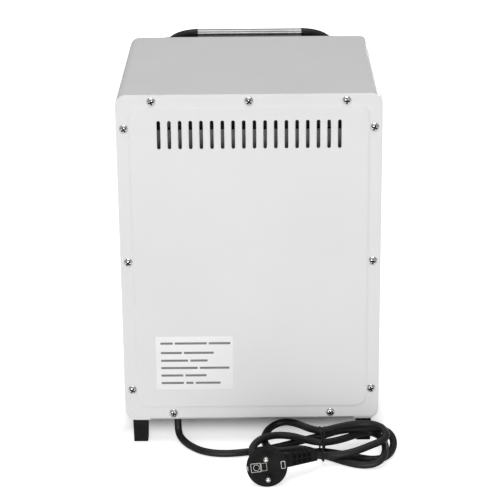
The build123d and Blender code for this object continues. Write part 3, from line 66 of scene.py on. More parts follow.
class NodeBench:
    """Adds shader nodes to one material and wires them."""

    def __init__(self, name: str) -> None:
        """Start an empty node material.

        Args:
            name: The material's name.
        """
        self.material = bpy.data.materials.new(name)
        self.material.use_nodes = True
        self.tree = self.material.node_tree
        self.tree.nodes.clear()
        self.output = self.tree.nodes.new("ShaderNodeOutputMaterial")

    def add(self, kind: str, **values: object) -> bpy.types.Node:
        """Add a node and set its inputs by name.

        Args:
            kind: The node's type name.
            values: Input names, with _ for a space, and their values.

        Returns:
            The new node.
        """
        node = self.tree.nodes.new(kind)
        for key, value in values.items():
            node.inputs[key.replace("_", " ")].default_value = value
        return node

    def wire(self, source: bpy.types.NodeSocket, target: bpy.types.NodeSocket) -> None:
        """Connect an output to an input."""
        self.tree.links.new(source, target)

    def reckon(self, operation: str, *terms: bpy.types.NodeSocket | float) -> bpy.types.NodeSocket:
        """Work out a value with one maths node.

        Args:
            operation: The node's operation.
            terms: Its inputs, each a socket or a number.

        Returns:
            The value's socket.
        """
        node = self.add("ShaderNodeMath")
        node.operation = operation
        for target, term in zip(node.inputs, terms):
            if isinstance(term, float):
                target.default_value = term
            else:
                self.wire(term, target)
        return node.outputs["Value"]

    def noise(self, scale: float, detail: float = 3.0,
              stretch: Point = (1.0, 1.0, 1.0)) -> bpy.types.NodeSocket:
        """Noise over the object's own coordinates.

        Args:
            scale: Noise scale, per metre.
            detail: Number of octaves.
            stretch: Scale of each axis before the noise.

        Returns:
            The noise's value socket.
        """
        place = self.add("ShaderNodeTexCoord")
        mapping = self.add("ShaderNodeMapping")
        mapping.inputs["Scale"].default_value = stretch
        self.wire(place.outputs["Object"], mapping.inputs["Vector"])
        texture = self.add("ShaderNodeTexNoise", Scale=scale, Detail=detail)
        self.wire(mapping.outputs["Vector"], texture.inputs["Vector"])
        return texture.outputs["Fac"]

    def spread(self, source: bpy.types.NodeSocket, low: float, high: float) -> bpy.types.NodeSocket:
        """Map a noise value from its usual 0.3 to 0.7 onto a range.

        Args:
            source: The value to map.
            low: Result at 0.3.
            high: Result at 0.7.

        Returns:
            The mapped value's socket.
        """
        ranged = self.add("ShaderNodeMapRange")
        ranged.inputs["From Min"].default_value = 0.3
        ranged.inputs["From Max"].default_value = 0.7
        ranged.inputs["To Min"].default_value = low
        ranged.inputs["To Max"].default_value = high
        self.wire(source, ranged.inputs["Value"])
        return ranged.outputs["Result"]

    def blend_colours(self, factor: bpy.types.NodeSocket, first: Point,
                      second: Point) -> bpy.types.NodeSocket:
        """Mix two colours by a factor.

        Args:
            factor: 0 for the first colour and 1 for the second.
            first: Linear colour.
            second: Linear colour.

        Returns:
            The mixed colour's socket.
        """
        mix = self.tree.nodes.new("ShaderNodeMix")
        mix.data_type = "RGBA"
        mix.inputs["A"].default_value = (*first, 1.0)
        mix.inputs["B"].default_value = (*second, 1.0)
        self.wire(factor, mix.inputs["Factor"])
        return mix.outputs["Result"]

    def bump(self, height: bpy.types.NodeSocket, strength: float, depth: float,
             below: bpy.types.NodeSocket | None = None) -> bpy.types.NodeSocket:
        """Turn a height into a normal.

        Args:
            height: The height value.
            strength: Strength of the bump.
            depth: Real height in metres.
            below: A normal that this one adds to.

        Returns:
            The normal's socket.
        """
        node = self.add("ShaderNodeBump", Strength=strength, Distance=depth)
        self.wire(height, node.inputs["Height"])
        if below is not None:
            self.wire(below, node.inputs["Normal"])
        return node.outputs["Normal"]

    def surface(self, **values: object) -> bpy.types.Node:
        """Add the main shader and wire it to the output.

        Args:
            values: Its inputs by name, with _ for a space.

        Returns:
            The shader node.
        """
        shader = self.add("ShaderNodeBsdfPrincipled", **values)
        self.wire(shader.outputs["BSDF"], self.output.inputs["Surface"])
        return shader


class Finish:
    """A named surface finish that makes its material once."""

    name: str
    slot: str

    def dress(self, bench: NodeBench) -> None:
        """Fill the material's nodes."""
        raise NotImplementedError

    def material(self) -> bpy.types.Material:
        """Return this finish's material, made on first use."""
        title = self.name + "_finish"
        known = bpy.data.materials.get(title)
        if known is not None:
            return known
        bench = NodeBench(title)
        self.dress(bench)
        return bench.material


@dataclass(frozen=True)
class PowderCoat(Finish):
    """Baked powder paint: two near tones, a fine orange peel and a satin sheen."""

    name: str
    tone: Point
    shade: Point
    roughness: float = 0.42
    peel: float = 0.05
    slot: str = ""

    def dress(self, bench: NodeBench) -> None:
        """Fill the material's nodes."""
        shader = bench.surface(IOR=1.45)
        patches = bench.spread(bench.noise(9.0, 2.0), 0.0, 1.0)
        bench.wire(bench.blend_colours(patches, self.tone, self.shade), shader.inputs["Base Color"])
        gloss = bench.spread(bench.noise(60.0, 4.0), self.roughness - 0.04, self.roughness + 0.06)
        bench.wire(gloss, shader.inputs["Roughness"])
        bench.wire(bench.bump(bench.noise(1400.0, 2.0), self.peel, 0.0002), shader.inputs["Normal"])


@dataclass(frozen=True)
class Moulded(Finish):
    """Moulded plastic or rubber with a fine grain."""

    name: str
    tone: Point
    shade: Point
    roughness: float = 0.45
    grain: float = 0.25
    grain_scale: float = 2600.0
    grain_depth: float = 0.0002
    specular: float = 0.1
    slot: str = ""

    def dress(self, bench: NodeBench) -> None:
        """Fill the material's nodes."""
        shader = bench.surface(IOR=1.5)
        shader.inputs["Specular IOR Level"].default_value = self.specular
        patches = bench.spread(bench.noise(70.0, 4.0), 0.0, 1.0)
        bench.wire(bench.blend_colours(patches, self.tone, self.shade), shader.inputs["Base Color"])
        gloss = bench.spread(bench.noise(220.0, 5.0), self.roughness - 0.07, self.roughness + 0.09)
        bench.wire(gloss, shader.inputs["Roughness"])
        normal = bench.bump(bench.noise(self.grain_scale, 3.0), self.grain, self.grain_depth)
        bench.wire(normal, shader.inputs["Normal"])


@dataclass(frozen=True)
class DrawnMetal(Finish):
    """Bare metal with fine drawn or brushed lines along one axis."""

    name: str
    tone: Point
    roughness: float = 0.3
    stretch: Point = (1.0, 1.0, 1.0)
    line_scale: float = 900.0
    line_strength: float = 0.12
    shade: Point | None = None
    slot: str = ""

    def dress(self, bench: NodeBench) -> None:
        """Fill the material's nodes."""
        shader = bench.surface(Metallic=1.0)
        dark = self.shade or tuple(channel * 0.82 for channel in self.tone)
        stains = bench.spread(bench.noise(45.0, 4.0), 0.0, 1.0)
        bench.wire(bench.blend_colours(stains, self.tone, dark), shader.inputs["Base Color"])
        lines = bench.noise(self.line_scale, 3.0, self.stretch)
        gloss = bench.spread(lines, self.roughness - 0.06, self.roughness + 0.1)
        bench.wire(gloss, shader.inputs["Roughness"])
        bench.wire(bench.bump(lines, self.line_strength, 0.0001), shader.inputs["Normal"])


@dataclass(frozen=True)
class ClearPane(Finish):
    """Clear glass with a faint film of dust."""

    name: str
    tone: Point = (0.92, 0.97, 0.96)
    slot: str = ""

    def dress(self, bench: NodeBench) -> None:
        """Fill the material's nodes."""
        shader = bench.surface(IOR=1.5)
        shader.inputs["Base Color"].default_value = (*self.tone, 1.0)
        shader.inputs["Transmission Weight"].default_value = 1.0
        film = bench.spread(bench.noise(35.0, 5.0), 0.0, 0.06)
        bench.wire(film, shader.inputs["Roughness"])


@dataclass(frozen=True)
class GlowingLens(Finish):
    """Clear coloured plastic over a lamp."""

    name: str
    tone: Point
    slot: str = ""

    def dress(self, bench: NodeBench) -> None:
        """Fill the material's nodes."""
        shader = bench.surface(IOR=1.49, Roughness=0.12)
        shader.inputs["Base Color"].default_value = (*self.tone, 1.0)
        shader.inputs["Transmission Weight"].default_value = 0.55
        ripples = bench.bump(bench.noise(700.0, 2.0), 0.3, 0.0003)
        bench.wire(ripples, shader.inputs["Normal"])


@dataclass(frozen=True)
class MineralWool(Finish):
    """Matted mineral wool."""

    name: str
    tone: Point
    shade: Point
    slot: str = ""

    def dress(self, bench: NodeBench) -> None:
        """Fill the material's nodes."""
        shader = bench.surface(Roughness=0.95)
        fibres = bench.noise(420.0, 6.0, (1.0, 3.0, 0.5))
        bench.wire(bench.blend_colours(bench.spread(fibres, 0.0, 1.0), self.tone, self.shade),
                   shader.inputs["Base Color"])
        bench.wire(bench.bump(fibres, 0.8, 0.001), shader.inputs["Normal"])


CASING_PAINT = PowderCoat("casing_paint", (0.8, 0.8, 0.8), (0.77, 0.77, 0.775))
DOOR_PAINT = PowderCoat("door_paint", (0.012, 0.012, 0.013), (0.018, 0.018, 0.019), 0.3)
SCREW_METAL = DrawnMetal("bright_screw", (0.9, 0.9, 0.9), 0.12, line_strength=0.03)
# Near-black metal for the deeper faces of the screw recesses: painted shade, not the screws' own colour.
RECESS_SHADE_METAL = DrawnMetal("screw_recess_painted_shade", (0.03, 0.03, 0.03), 0.4, line_strength=0.04, slot="bright_screw")
PLATED_STEEL = DrawnMetal("plated_steel", (0.62, 0.62, 0.63), 0.38)
SHIELD_STEEL = DrawnMetal("shield_steel", (0.4, 0.4, 0.4), 0.6, slot="plated_steel")
STAINLESS = DrawnMetal("stainless", (0.66, 0.65, 0.64), 0.28, (1.0, 14.0, 14.0), 260.0)
TRAY_STEEL = DrawnMetal("tray_steel", (0.7, 0.7, 0.69), 0.22, (14.0, 1.0, 14.0), 260.0, slot="stainless")
SHELF_CHROME = DrawnMetal("shelf_wire", (0.74, 0.74, 0.74), 0.16, line_strength=0.03)
BAR_STEEL = DrawnMetal("bar_steel", (0.4, 0.4, 0.4), 0.3, (1.0, 30.0, 30.0), 200.0)
# A darker copy of the nickel for the earth strips, toned down so they reflect less of the key light: painted
# shade.
CONTACT_SHADED_NICKEL = DrawnMetal("contact_nickel_shaded", (0.3, 0.29, 0.28), 0.42, line_strength=0.03, slot="nickel")
NICKEL = DrawnMetal("nickel", (0.8, 0.78, 0.74), 0.16, line_strength=0.03)
SHEATH = DrawnMetal("heater_sheath", (0.2, 0.18, 0.17), 0.45, shade=(0.1, 0.08, 0.075))
FOOT_RUBBER = Moulded("foot_rubber", (0.009, 0.009, 0.009), (0.014, 0.014, 0.014), 0.6, 0.4,
                      slot="black_rubber")
CORD_RUBBER = Moulded("cord_rubber", (0.009, 0.009, 0.009), (0.014, 0.014, 0.014), 0.42, 0.15, specular=0.3)
PLUG_PLASTIC = Moulded("plug_plastic", (0.011, 0.011, 0.011), (0.015, 0.015, 0.015), 0.62, 0.6, 1700.0,
                       0.0003, 0.08)
TIE_PLASTIC = Moulded("tie_plastic", (0.014, 0.014, 0.014), (0.02, 0.02, 0.02), 0.3, 0.1)
BLACK_PLASTIC = Moulded("black_plastic", (0.01, 0.01, 0.01), (0.014, 0.014, 0.014), 0.42, 0.2, specular=0.3)
HOUSING_PLASTIC = Moulded("control_housing", (0.09, 0.09, 0.095), (0.12, 0.12, 0.12), 0.5)
CERAMIC = Moulded("ceramic", (0.72, 0.68, 0.6), (0.64, 0.6, 0.52), 0.35, 0.1)
SILICONE = Moulded("seal_silicone", (0.34, 0.1, 0.06), (0.28, 0.08, 0.05), 0.55, 0.2)
FASCIA_FILM = Moulded("fascia_film", (0.035, 0.042, 0.05), (0.04, 0.046, 0.055), 0.3, 0.1)
PRINT_WHITE = Moulded("print_white", (0.75, 0.75, 0.75), (0.7, 0.7, 0.7), 0.5, 0.05, slot="fascia_film")
LABEL_STOCK = Moulded("label_stock", (0.9, 0.9, 0.9), (0.88, 0.88, 0.88), 0.35, 0.03, slot="casing_paint")
LABEL_INK = Moulded("label_ink", (0.2, 0.2, 0.2), (0.26, 0.26, 0.26), 0.5, 0.02, slot="casing_paint")
PANE = ClearPane("window_glass")
LAMP_RED = GlowingLens("lamp_red", (0.75, 0.03, 0.015))
# Mineral wool made near black, far darker than its own colour, to stand in for the shade inside the casing
# behind the vent slots: painted shade.
WOOL_PAINTED_SHADE = MineralWool("wool", (0.05, 0.049, 0.047), (0.03, 0.029, 0.028))


# Mesh work


def rounded_loop(width: float, height: float, radius: float, centre: Spot = (0.0, 0.0), *,
                 foot_radius: float | None = None, arc: int = 8, side: int = 6) -> list[Spot]:
    """Points round a rectangle with rounded corners, the same number whatever its size.

    Args:
        width: Full width.
        height: Full height.
        radius: Radius of all corners, or of the top two.
        centre: Middle of the rectangle.
        foot_radius: Radius of the bottom two corners, if another.
        arc: Steps round each corner.
        side: Steps along each side.

    Returns:
        The points, counter-clockwise from the right end of the foot.
    """
    low = radius if foot_radius is None else foot_radius
    corners = ((1, -1, low, -90.0), (1, 1, radius, 0.0), (-1, 1, radius, 90.0), (-1, -1, low, 180.0))
    loop: list[Spot] = []
    for sign_x, sign_z, bend, start in corners:
        middle_x = centre[0] + sign_x * (width / 2 - bend)
        middle_z = centre[1] + sign_z * (height / 2 - bend)
        corner = []
        for step in range(arc + 1):
            angle = radians(start + 90.0 * step / arc)
            corner.append((middle_x + bend * cos(angle), middle_z + bend * sin(angle)))
        if loop:
            loop += between(loop[-1], corner[0], side)
        loop += corner
    return loop + between(loop[-1], loop[0], side)


def between(first: Spot, last: Spot, steps: int) -> list[Spot]:
    """Evenly spaced spots strictly between two others.

    Args:
        first: One end.
        last: The other end.
        steps: Number of steps from end to end.

    Returns:
        steps - 1 spots.
    """
    return [(first[0] + (last[0] - first[0]) * n / steps, first[1] + (last[1] - first[1]) * n / steps)
            for n in range(1, steps)]


def slot_loop(width: float, length: float, centre: Spot, arc: int = 8) -> list[Spot]:
    """Points round an upright slot with round ends.

    Args:
        width: Slot width.
        length: Overall length.
        centre: Middle of the slot.
        arc: Steps round each end.

    Returns:
        The points, counter-clockwise.
    """
    radius = width / 2
    reach = length / 2 - radius
    loop = []
    for sign, start in ((1, 0.0), (-1, 180.0)):
        for step in range(arc + 1):
            angle = radians(start + 180.0 * step / arc)
            loop.append((centre[0] + radius * cos(angle), centre[1] + sign * reach + radius * sin(angle)))
    return loop


def standing(loop: Iterable[Spot], y: float) -> list[Point]:
    """Place a flat loop upright at depth y."""
    return [(x, y, z) for x, z in loop]


class MeshDraft:
    """One mesh under construction, in millimetres."""

    def __init__(self) -> None:
        """Start an empty mesh."""
        self.mesh = bmesh.new()

    def ring(self, points: Iterable[Point]) -> list[bmesh.types.BMVert]:
        """Add loose vertices."""
        return [self.mesh.verts.new((x * MM, y * MM, z * MM)) for x, y, z in points]

    def bridge(self, first: list, second: list) -> None:
        """Join two rings of equal length with a band of faces."""
        for index in range(len(first)):
            after = (index + 1) % len(first)
            self.mesh.faces.new((first[index], first[after], second[after], second[index]))

    def stack(self, rings: Sequence[Iterable[Point]], capped: bool = False) -> list[list]:
        """Add rings and join each to the next.

        Args:
            rings: Rings of equal length, in order.
            capped: Whether to close the first and the last ring with a face.

        Returns:
            The rings' vertices.
        """
        made = [self.ring(points) for points in rings]
        for first, second in zip(made, made[1:]):
            self.bridge(first, second)
        if capped:
            self.cap(made[0])
            self.cap(made[-1])
        return made

    def cap(self, ring: list) -> None:
        """Close a ring with one face."""
        self.mesh.faces.new(ring)

    def fill(self, rings: Sequence[list], normal: Point) -> None:
        """Fill the flat area inside the first ring and outside the others.

        Args:
            rings: The outline, then its holes.
            normal: The way the new faces look.
        """
        edges = []
        for ring in rings:
            for index in range(len(ring)):
                pair = (ring[index], ring[(index + 1) % len(ring)])
                edges.append(self.mesh.edges.get(pair) or self.mesh.edges.new(pair))
        bmesh.ops.triangle_fill(self.mesh, use_beauty=True, use_dissolve=False, edges=edges, normal=normal)

    def turn(self, profile: Sequence[Spot], origin: Vector, axis: Vector, across: Vector,
             steps: int = 48) -> list[list]:
        """Turn a profile of (radius, distance along the axis) round an axis.

        Args:
            profile: The profile, in order; a radius of 0 closes it to a point.
            origin: A point on the axis, in millimetres.
            axis: The axis's unit direction.
            across: A unit direction square to the axis.
            steps: Number of steps round the axis.

        Returns:
            The rings' vertices.
        """
        upward = axis.cross(across)
        made: list[list] = []
        for radius, along in profile:
            centre = origin + axis * along
            if radius <= 0:
                tip = self.ring([tuple(centre)])
                made.append(tip * steps)
                continue
            spots = []
            for step in range(steps):
                angle = tau * step / steps
                spots.append(tuple(centre + across * (radius * cos(angle)) + upward * (radius * sin(angle))))
            made.append(self.ring(spots))
        for first, second in zip(made, made[1:]):
            for index in range(steps):
                after = (index + 1) % steps
                corners = [first[index], first[after], second[after], second[index]]
                unique = list(dict.fromkeys(corners))
                if len(unique) > 2:
                    self.mesh.faces.new(unique)
        return made

    def piece(self, name: str, finish: Finish, body: Body, replaces: Sequence[str] = (), *,
              smooth_angle: float = 35.0, flat_fields: bool = False) -> bpy.types.Object:
        """Finish the mesh and make its object.

        Args:
            name: The object's name.
            finish: Its surface finish.
            body: The body that it rides on.
            replaces: CAD nodes that it stands for.
            smooth_angle: Edges sharper than this stay sharp, in degrees.
            flat_fields: Whether large flat faces keep flat shading up to their edges.

        Returns:
            The new object.
        """
        bmesh.ops.recalc_face_normals(self.mesh, faces=self.mesh.faces)
        data = bpy.data.meshes.new(name)
        self.mesh.to_mesh(data)
        self.mesh.free()
        data.materials.append(finish.material())
        data.shade_smooth()
        data.set_sharp_from_angle(angle=radians(smooth_angle))
        item = linked(name, data)
        if flat_fields:
            weighted = item.modifiers.new("flat_fields", "WEIGHTED_NORMAL")
            weighted.mode = "FACE_AREA"
            weighted.weight = 100
            weighted.keep_sharp = True
        return settle(item, finish, body, replaces)


def linked(name: str, data: bpy.types.ID) -> bpy.types.Object:
    """Make an object of a mesh, curve, light or camera and link it to the scene."""
    item = bpy.data.objects.new(name, data)
    bpy.context.scene.collection.objects.link(item)
    return item


def smooth_wire(name: str, route: Sequence[Point], radius: float, rounds: int) -> bpy.types.Object:
    """Make a round wire along one smooth open spline.

    Args:
        name: The object's name.
        route: The spline's points, in millimetres.
        radius: Half the wire's thickness, in millimetres.
        rounds: Steps of its roundness.

    Returns:
        The wire.
    """
    curve = bpy.data.curves.new(name, "CURVE")
    curve.dimensions = "3D"
    curve.bevel_depth = radius * MM
    curve.bevel_resolution = rounds
    curve.use_fill_caps = True
    spline = curve.splines.new("NURBS")
    spline.points.add(len(route) - 1)
    for target, (x, y, z) in zip(spline.points, route):
        target.co = (x * MM, y * MM, z * MM, 1.0)
    spline.order_u = 3
    spline.use_endpoint_u = True
    return linked(name, curve)


def settle(item: bpy.types.Object, finish: Finish, body: Body,
           replaces: Sequence[str] = ()) -> bpy.types.Object:
    """Put a piece on its body and what it stands for.

    Args:
        item: The piece.
        finish: Its finish.
        body: The body that it rides on.
        replaces: CAD nodes that it stands for.

    Returns:
        The same piece.
    """
    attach(item, body.value)
    if replaces:
        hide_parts(*replaces)
    log.info("piece %s: %s on %s", item.name, finish.name, body.value)
    return item


def dress_nodes(finish: Finish, *nodes: str) -> None:
    """Give carried-over CAD nodes their finish.

    Args:
        finish: The finish.
        nodes: The nodes' names.
    """
    for node in nodes:
        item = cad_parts[node]
        item.data.materials.clear()
        item.data.materials.append(finish.material())
        log.info("node %s: %s", node, finish.name)


# Sub-assemblies


@dataclass
class Casing:
    """Painted sheet casing with its back panel, screws, label and feet."""

    width: float = 250.0
    panel_height: float = 330.7
    panel_mid_z: float = 192.65
    back_y: float = 141.825
    gauge: float = 1.0
    corner: float = 10.0
    field_rise: float = 0.9
    slot_count: int = 18
    slot_pitch: float = 10.0
    slot_mid_z: float = 319.1
    slot_width: float = 3.3
    slot_length: float = 27.6
    screw_head: float = 8.6
    screw_rise: float = 2.4
    screw_shank: float = 3.9
    screw_length: float = 8.0
    screw_steps: int = 72
    screw_levels: int = 22
    label_low: Spot = (17.95, 58.7)
    label_high: Spot = (93.4, 114.8)
    bar_height: float = 2.3
    label_corner: float = 0.6
    recess_half: float = 0.78
    recess_wall: float = 0.28
    recess_reach: float = 2.75
    recess_end: float = 0.5
    recess_depth: float = 1.55
    recess_climb: float = 0.3
    # Recess depth past which the faces take the near-black metal as painted shade.
    recess_dark_from: float = 0.2
    label_rows: tuple = (
        (7.2, (4.6, 16.8), (18.6, 50.0), (51.8, 73.0)),
        (17.2, (4.8, 25.4), (27.4, 56.6)),
        (25.4, (4.8, 31.4), (33.4, 50.6)),
        (33.2, (4.8, 40.6), (42.6, 71.8)),
        (41.2, (4.8, 26.4), (28.4, 49.2)),
        (49.2, (4.8, 26.8), (29.0, 36.2), (38.4, 63.0)))

    def loop(self, inset: float, corner: float) -> list[Spot]:
        """The panel's outline, drawn inwards by inset with the given corner radius."""
        return rounded_loop(self.width - 2 * inset, self.panel_height - 2 * inset, corner,
                            (0.0, self.panel_mid_z), arc=10, side=10)

    def slots(self) -> list[Spot]:
        """Middles of the vent slots."""
        first = -self.slot_pitch * (self.slot_count - 1) / 2
        return [(first + self.slot_pitch * index, self.slot_mid_z) for index in range(self.slot_count)]

    def panel(self) -> bpy.types.Object:
        """Build the back panel: rolled edge, soft step to the raised field, slots with pressed lips."""
        rise = self.field_rise
        outer = [(0.0, 10.0, 0.06), (0.0, 10.0, 0.45), (0.1, 9.9, 0.72), (0.32, 9.7, 0.93), (0.7, 9.4, 1.0),
                 (3.0, 9.6, 1.0), (8.4, 12.2, 1.0), (10.3, 12.6, 1.0)]
        for share in (0.1, 0.25, 0.4, 0.5, 0.6, 0.75, 0.9, 1.0):
            climb = share * share * (3 - 2 * share)
            outer.append((10.7 + 2.9 * share, 12.4 - 2.0 * share, 1.0 + rise * climb))
        outer.append((18.5, 9.5, 1.0 + rise))
        inner = [(19.0, 9.2, rise + 0.05), (14.0, 10.2, rise), (12.4, 11.0, rise / 2), (11.0, 11.4, 0.06),
                 (1.0, 9.2, 0.06)]
        base_y = self.back_y - self.gauge
        draft = MeshDraft()
        front, back = (draft.stack([standing(self.loop(inset, corner), base_y + level)
                                    for inset, corner, level in profile]) for profile in (outer, inner))
        draft.bridge(back[-1], front[0])
        face_y = base_y + 1.0 + rise
        holes_out, holes_in = [], []
        for middle in self.slots():
            lips = [(0.55, 0.0), (0.25, -0.08), (0.06, -0.28), (0.0, -0.6), (0.0, -0.95)]
            rings = []
            for grow, drop in lips:
                loop = slot_loop(self.slot_width + 2 * grow, self.slot_length + 2 * grow, middle)
                rings.append(standing(loop, face_y + drop))
            made = draft.stack(rings)
            holes_out.append(made[0])
            holes_in.append(made[-1])
        draft.fill([front[-1], *holes_out], (0.0, 1.0, 0.0))
        draft.fill([back[0], *holes_in], (0.0, -1.0, 0.0))
        return draft.piece("back_panel_skin", CASING_PAINT, Body.CABINET, ["back_panel"], smooth_angle=30.0,
                           flat_fields=True)

    def screw_places(self) -> list[Spot]:
        """Middles of the back panel's screws."""
        top = self.panel_mid_z + self.panel_height / 2
        low = self.panel_mid_z - self.panel_height / 2
        places = [(x, top - 7.0) for x in (-91.4, 0.0, 91.4)]
        for drop in (33.0, 166.4, 300.1):
            places += [(-117.6, top - drop), (117.6, top - drop)]
        return places + [(-77.7, low + 5.1), (77.7, low + 5.1)]

    def screws(self) -> bpy.types.Object:
        """Build the domed screws, each with a cross recess at its own angle; the recess's deeper faces take a
        near-black metal as painted shade.
        """
        draft = MeshDraft()
        for number, place in enumerate(self.screw_places()):
            self.screw(draft, place, radians((number * 37) % 90))
        item = draft.piece("back_panel_screw_set", SCREW_METAL, Body.CABINET, ["back_panel_screws"],
                           smooth_angle=48.0)
        item.data.materials.append(RECESS_SHADE_METAL.material())
        return item

    def screw(self, draft: MeshDraft, place: Spot, angle: float) -> None:
        """Add one screw to a mesh.

        Args:
            draft: The mesh.
            place: The screw's middle on the panel.
            angle: Turn of its recess.
        """
        radius = self.screw_head / 2
        steps, levels = self.screw_steps, self.screw_levels
        rings, shade_spots = [], []
        for level in range(levels):
            share = level / (levels - 1)
            reach = radius * (0.04 + 0.96 * share)
            dome = self.screw_rise * (1 - 0.86 * (reach / radius) ** 2.6)
            ring = []
            for step in range(steps):
                turn = tau * step / steps
                local_x, local_z = reach * cos(turn), reach * sin(turn)
                sunk = self.recess(local_x, local_z)
                rise = dome - sunk
                # Faces sunk past this depth get the near-black metal: painted shade in the recess.
                if sunk > self.recess_dark_from:
                    shade_spots.append((level, step))
                x = place[0] + local_x * cos(angle) - local_z * sin(angle)
                z = place[1] + local_x * sin(angle) + local_z * cos(angle)
                ring.append((x, self.back_y + rise, z))
            rings.append(ring)
        made = draft.stack(rings)
        draft.cap(made[0])
        for level, step in shade_spots:
            for item in made[level][step].link_faces:
                item.material_index = 1
        origin = Vector((place[0], self.back_y, place[1]))
        shank, end = self.screw_shank / 2, -self.screw_length
        collar = [(radius, 0.05), (radius - 0.25, 0.0), (shank, 0.0), (shank, end + 0.6), (shank - 0.6, end)]
        lower = draft.turn(collar, origin, Vector((0, 1, 0)), Vector((1, 0, 0)), steps)
        draft.cap(lower[-1])
        bmesh.ops.remove_doubles(draft.mesh, verts=draft.mesh.verts, dist=0.001 * MM)

    def recess(self, across: float, up: float) -> float:
        """Depth of the cross recess at a spot on the head."""
        depth = 0.0
        for along, beside in ((abs(across), abs(up)), (abs(up), abs(across))):
            wall = min(1.0, max(0.0, (self.recess_half - beside) / self.recess_wall))
            end = min(1.0, max(0.0, (self.recess_reach - along) / self.recess_end))
            depth = max(depth, wall * end * (self.recess_depth - self.recess_climb * along))
        return depth

    def label(self) -> None:
        """Build the plain label with rows of blank bars in place of print."""
        low, high = self.label_low, self.label_high
        middle = ((low[0] + high[0]) / 2, (low[1] + high[1]) / 2)
        face_y = self.back_y + self.field_rise
        draft = MeshDraft()
        width, height = high[0] - low[0], high[1] - low[1]
        rings = []
        for inset, rise in ((0.0, 0.0), (0.0, 0.07), (0.06, 0.1)):
            loop = rounded_loop(width - 2 * inset, height - 2 * inset, self.label_corner, middle, arc=4, side=4)
            rings.append(standing(loop, face_y + rise))
        draft.stack(rings, capped=True)
        draft.piece("label_plate", LABEL_STOCK, Body.CABINET)
        bars = MeshDraft()
        for drop, *spans in self.label_rows:
            for start, end in spans:
                centre = (high[0] - (start + end) / 2, high[1] - drop)
                loop = rounded_loop(end - start, self.bar_height, self.label_corner, centre, arc=3, side=2)
                bars.stack([standing(loop, face_y + 0.06), standing(loop, face_y + 0.13)], capped=True)
        bars.piece("label_bars", LABEL_INK, Body.CABINET)

    def dress(self) -> None:
        """Build every casing piece and dress the carried-over nodes."""
        self.panel()
        self.screws()
        self.label()
        dress_nodes(CASING_PAINT, "casing_wrap", "front_frame")
        dress_nodes(PLATED_STEEL, "base_pan", "base_pan_screws", "foot_screws")
        dress_nodes(FOOT_RUBBER, "foot_front_left", "foot_front_right", "foot_rear_left", "foot_rear_right")
        dress_nodes(SHIELD_STEEL, "rear_heat_shield")
        # The jacket seen through the slots takes the darkened wool: painted shade.
        dress_nodes(WOOL_PAINTED_SHADE, "insulation_jacket")


@dataclass
class Door:
    """Black door with its glass, inner panel, seal, hinges and bar handle."""

    front_y: float = -109.975
    bar_y: float = -139.975
    bar_z: float = 350.9
    bar_half: float = 55.7
    elbow_bend: float = 29.0
    elbow_radius: float = 4.6
    elbow_droop: float = 12.0
    elbow_steps: int = 28
    pad_rings: tuple[Point, ...] = (
        (3.2, 4.9, 5.0), (2.4, 5.6, 6.4), (1.4, 5.95, 7.6), (0.5, 6.0, 8.0), (0.0, 6.0, 8.0))

    def elbow(self, side: int) -> bpy.types.Object:
        """Build one elbow: a quarter bend that flares into an oval pad on the door.

        Args:
            side: 1 for the +X elbow and -1 for the other.

        Returns:
            The elbow.
        """
        droop = radians(self.elbow_droop)
        start = Vector((side * self.bar_half, self.bar_y, self.bar_z))
        inward = Vector((0.0, cos(droop), -sin(droop)))
        outward = Vector((side, 0.0, 0.0))
        square = outward.cross(inward)
        draft = MeshDraft()
        rings = []
        steps = self.elbow_steps
        foot = start + outward * self.elbow_bend + inward * self.elbow_bend
        for number in range(steps + 1):
            share = number / steps
            angle = share * pi / 2
            middle = start + (outward * sin(angle) + inward * (1 - cos(angle))) * self.elbow_bend
            ahead = outward * cos(angle) + inward * sin(angle)
            beside = ahead.cross(square)
            wide = self.elbow_radius + 0.25 * max(0.0, 1 - share * 14)
            rings.append(self.oval(middle, beside, square, wide, wide))
        door_up = Vector((0.0, 0.0, 1.0))
        door_side = Vector((-side, 0.0, 0.0))
        for forward, wide, tall in self.pad_rings:
            middle = Vector((foot.x, self.front_y - forward, foot.z))
            rings.append(self.oval(middle, door_side, door_up, wide, tall))
        draft.stack(rings, capped=True)
        name = "handle_elbow_" + ("left" if side > 0 else "right")
        return draft.piece(name + "_skin", BLACK_PLASTIC, Body.DOOR, [name], smooth_angle=50.0)

    @staticmethod
    def oval(middle: Vector, across: Vector, up: Vector, wide: float, tall: float,
             steps: int = 32) -> list[Point]:
        """Points of an oval round a middle.

        Args:
            middle: Its middle.
            across: Direction of the first half axis.
            up: Direction of the second half axis.
            wide: First half axis.
            tall: Second half axis.
            steps: Number of points.

        Returns:
            The points.
        """
        spots = []
        for step in range(steps):
            angle = tau * step / steps
            spots.append(tuple(middle + across * (wide * cos(angle)) + up * (tall * sin(angle))))
        return spots

    def dress(self) -> None:
        """Build the handle and dress the carried-over nodes."""
        for side in (-1, 1):
            self.elbow(side)
        dress_nodes(BAR_STEEL, "handle_bar")
        dress_nodes(DOOR_PAINT, "door_frame")
        dress_nodes(PANE, "door_glass")
        dress_nodes(STAINLESS, "door_inner_panel", "hinge_pin_left", "hinge_pin_right")
        dress_nodes(SILICONE, "door_seal")
        dress_nodes(PLATED_STEEL, "door_inner_screws", "handle_screws", "hinge_bracket_screws", "door_magnet")
        dress_nodes(BLACK_PLASTIC, "hinge_bracket_left", "hinge_bracket_right")


class Chamber:
    """Steel chamber with its shelves, tray and heaters."""

    def dress(self) -> None:
        """Dress the carried-over nodes."""
        dress_nodes(STAINLESS, "chamber_liner")
        dress_nodes(SHELF_CHROME, "lower_shelf", "upper_shelf")
        dress_nodes(TRAY_STEEL, "instrument_tray")
        dress_nodes(SHEATH, "lower_heater", "upper_heater")
        dress_nodes(CERAMIC, "heater_bushes", "terminal_block")


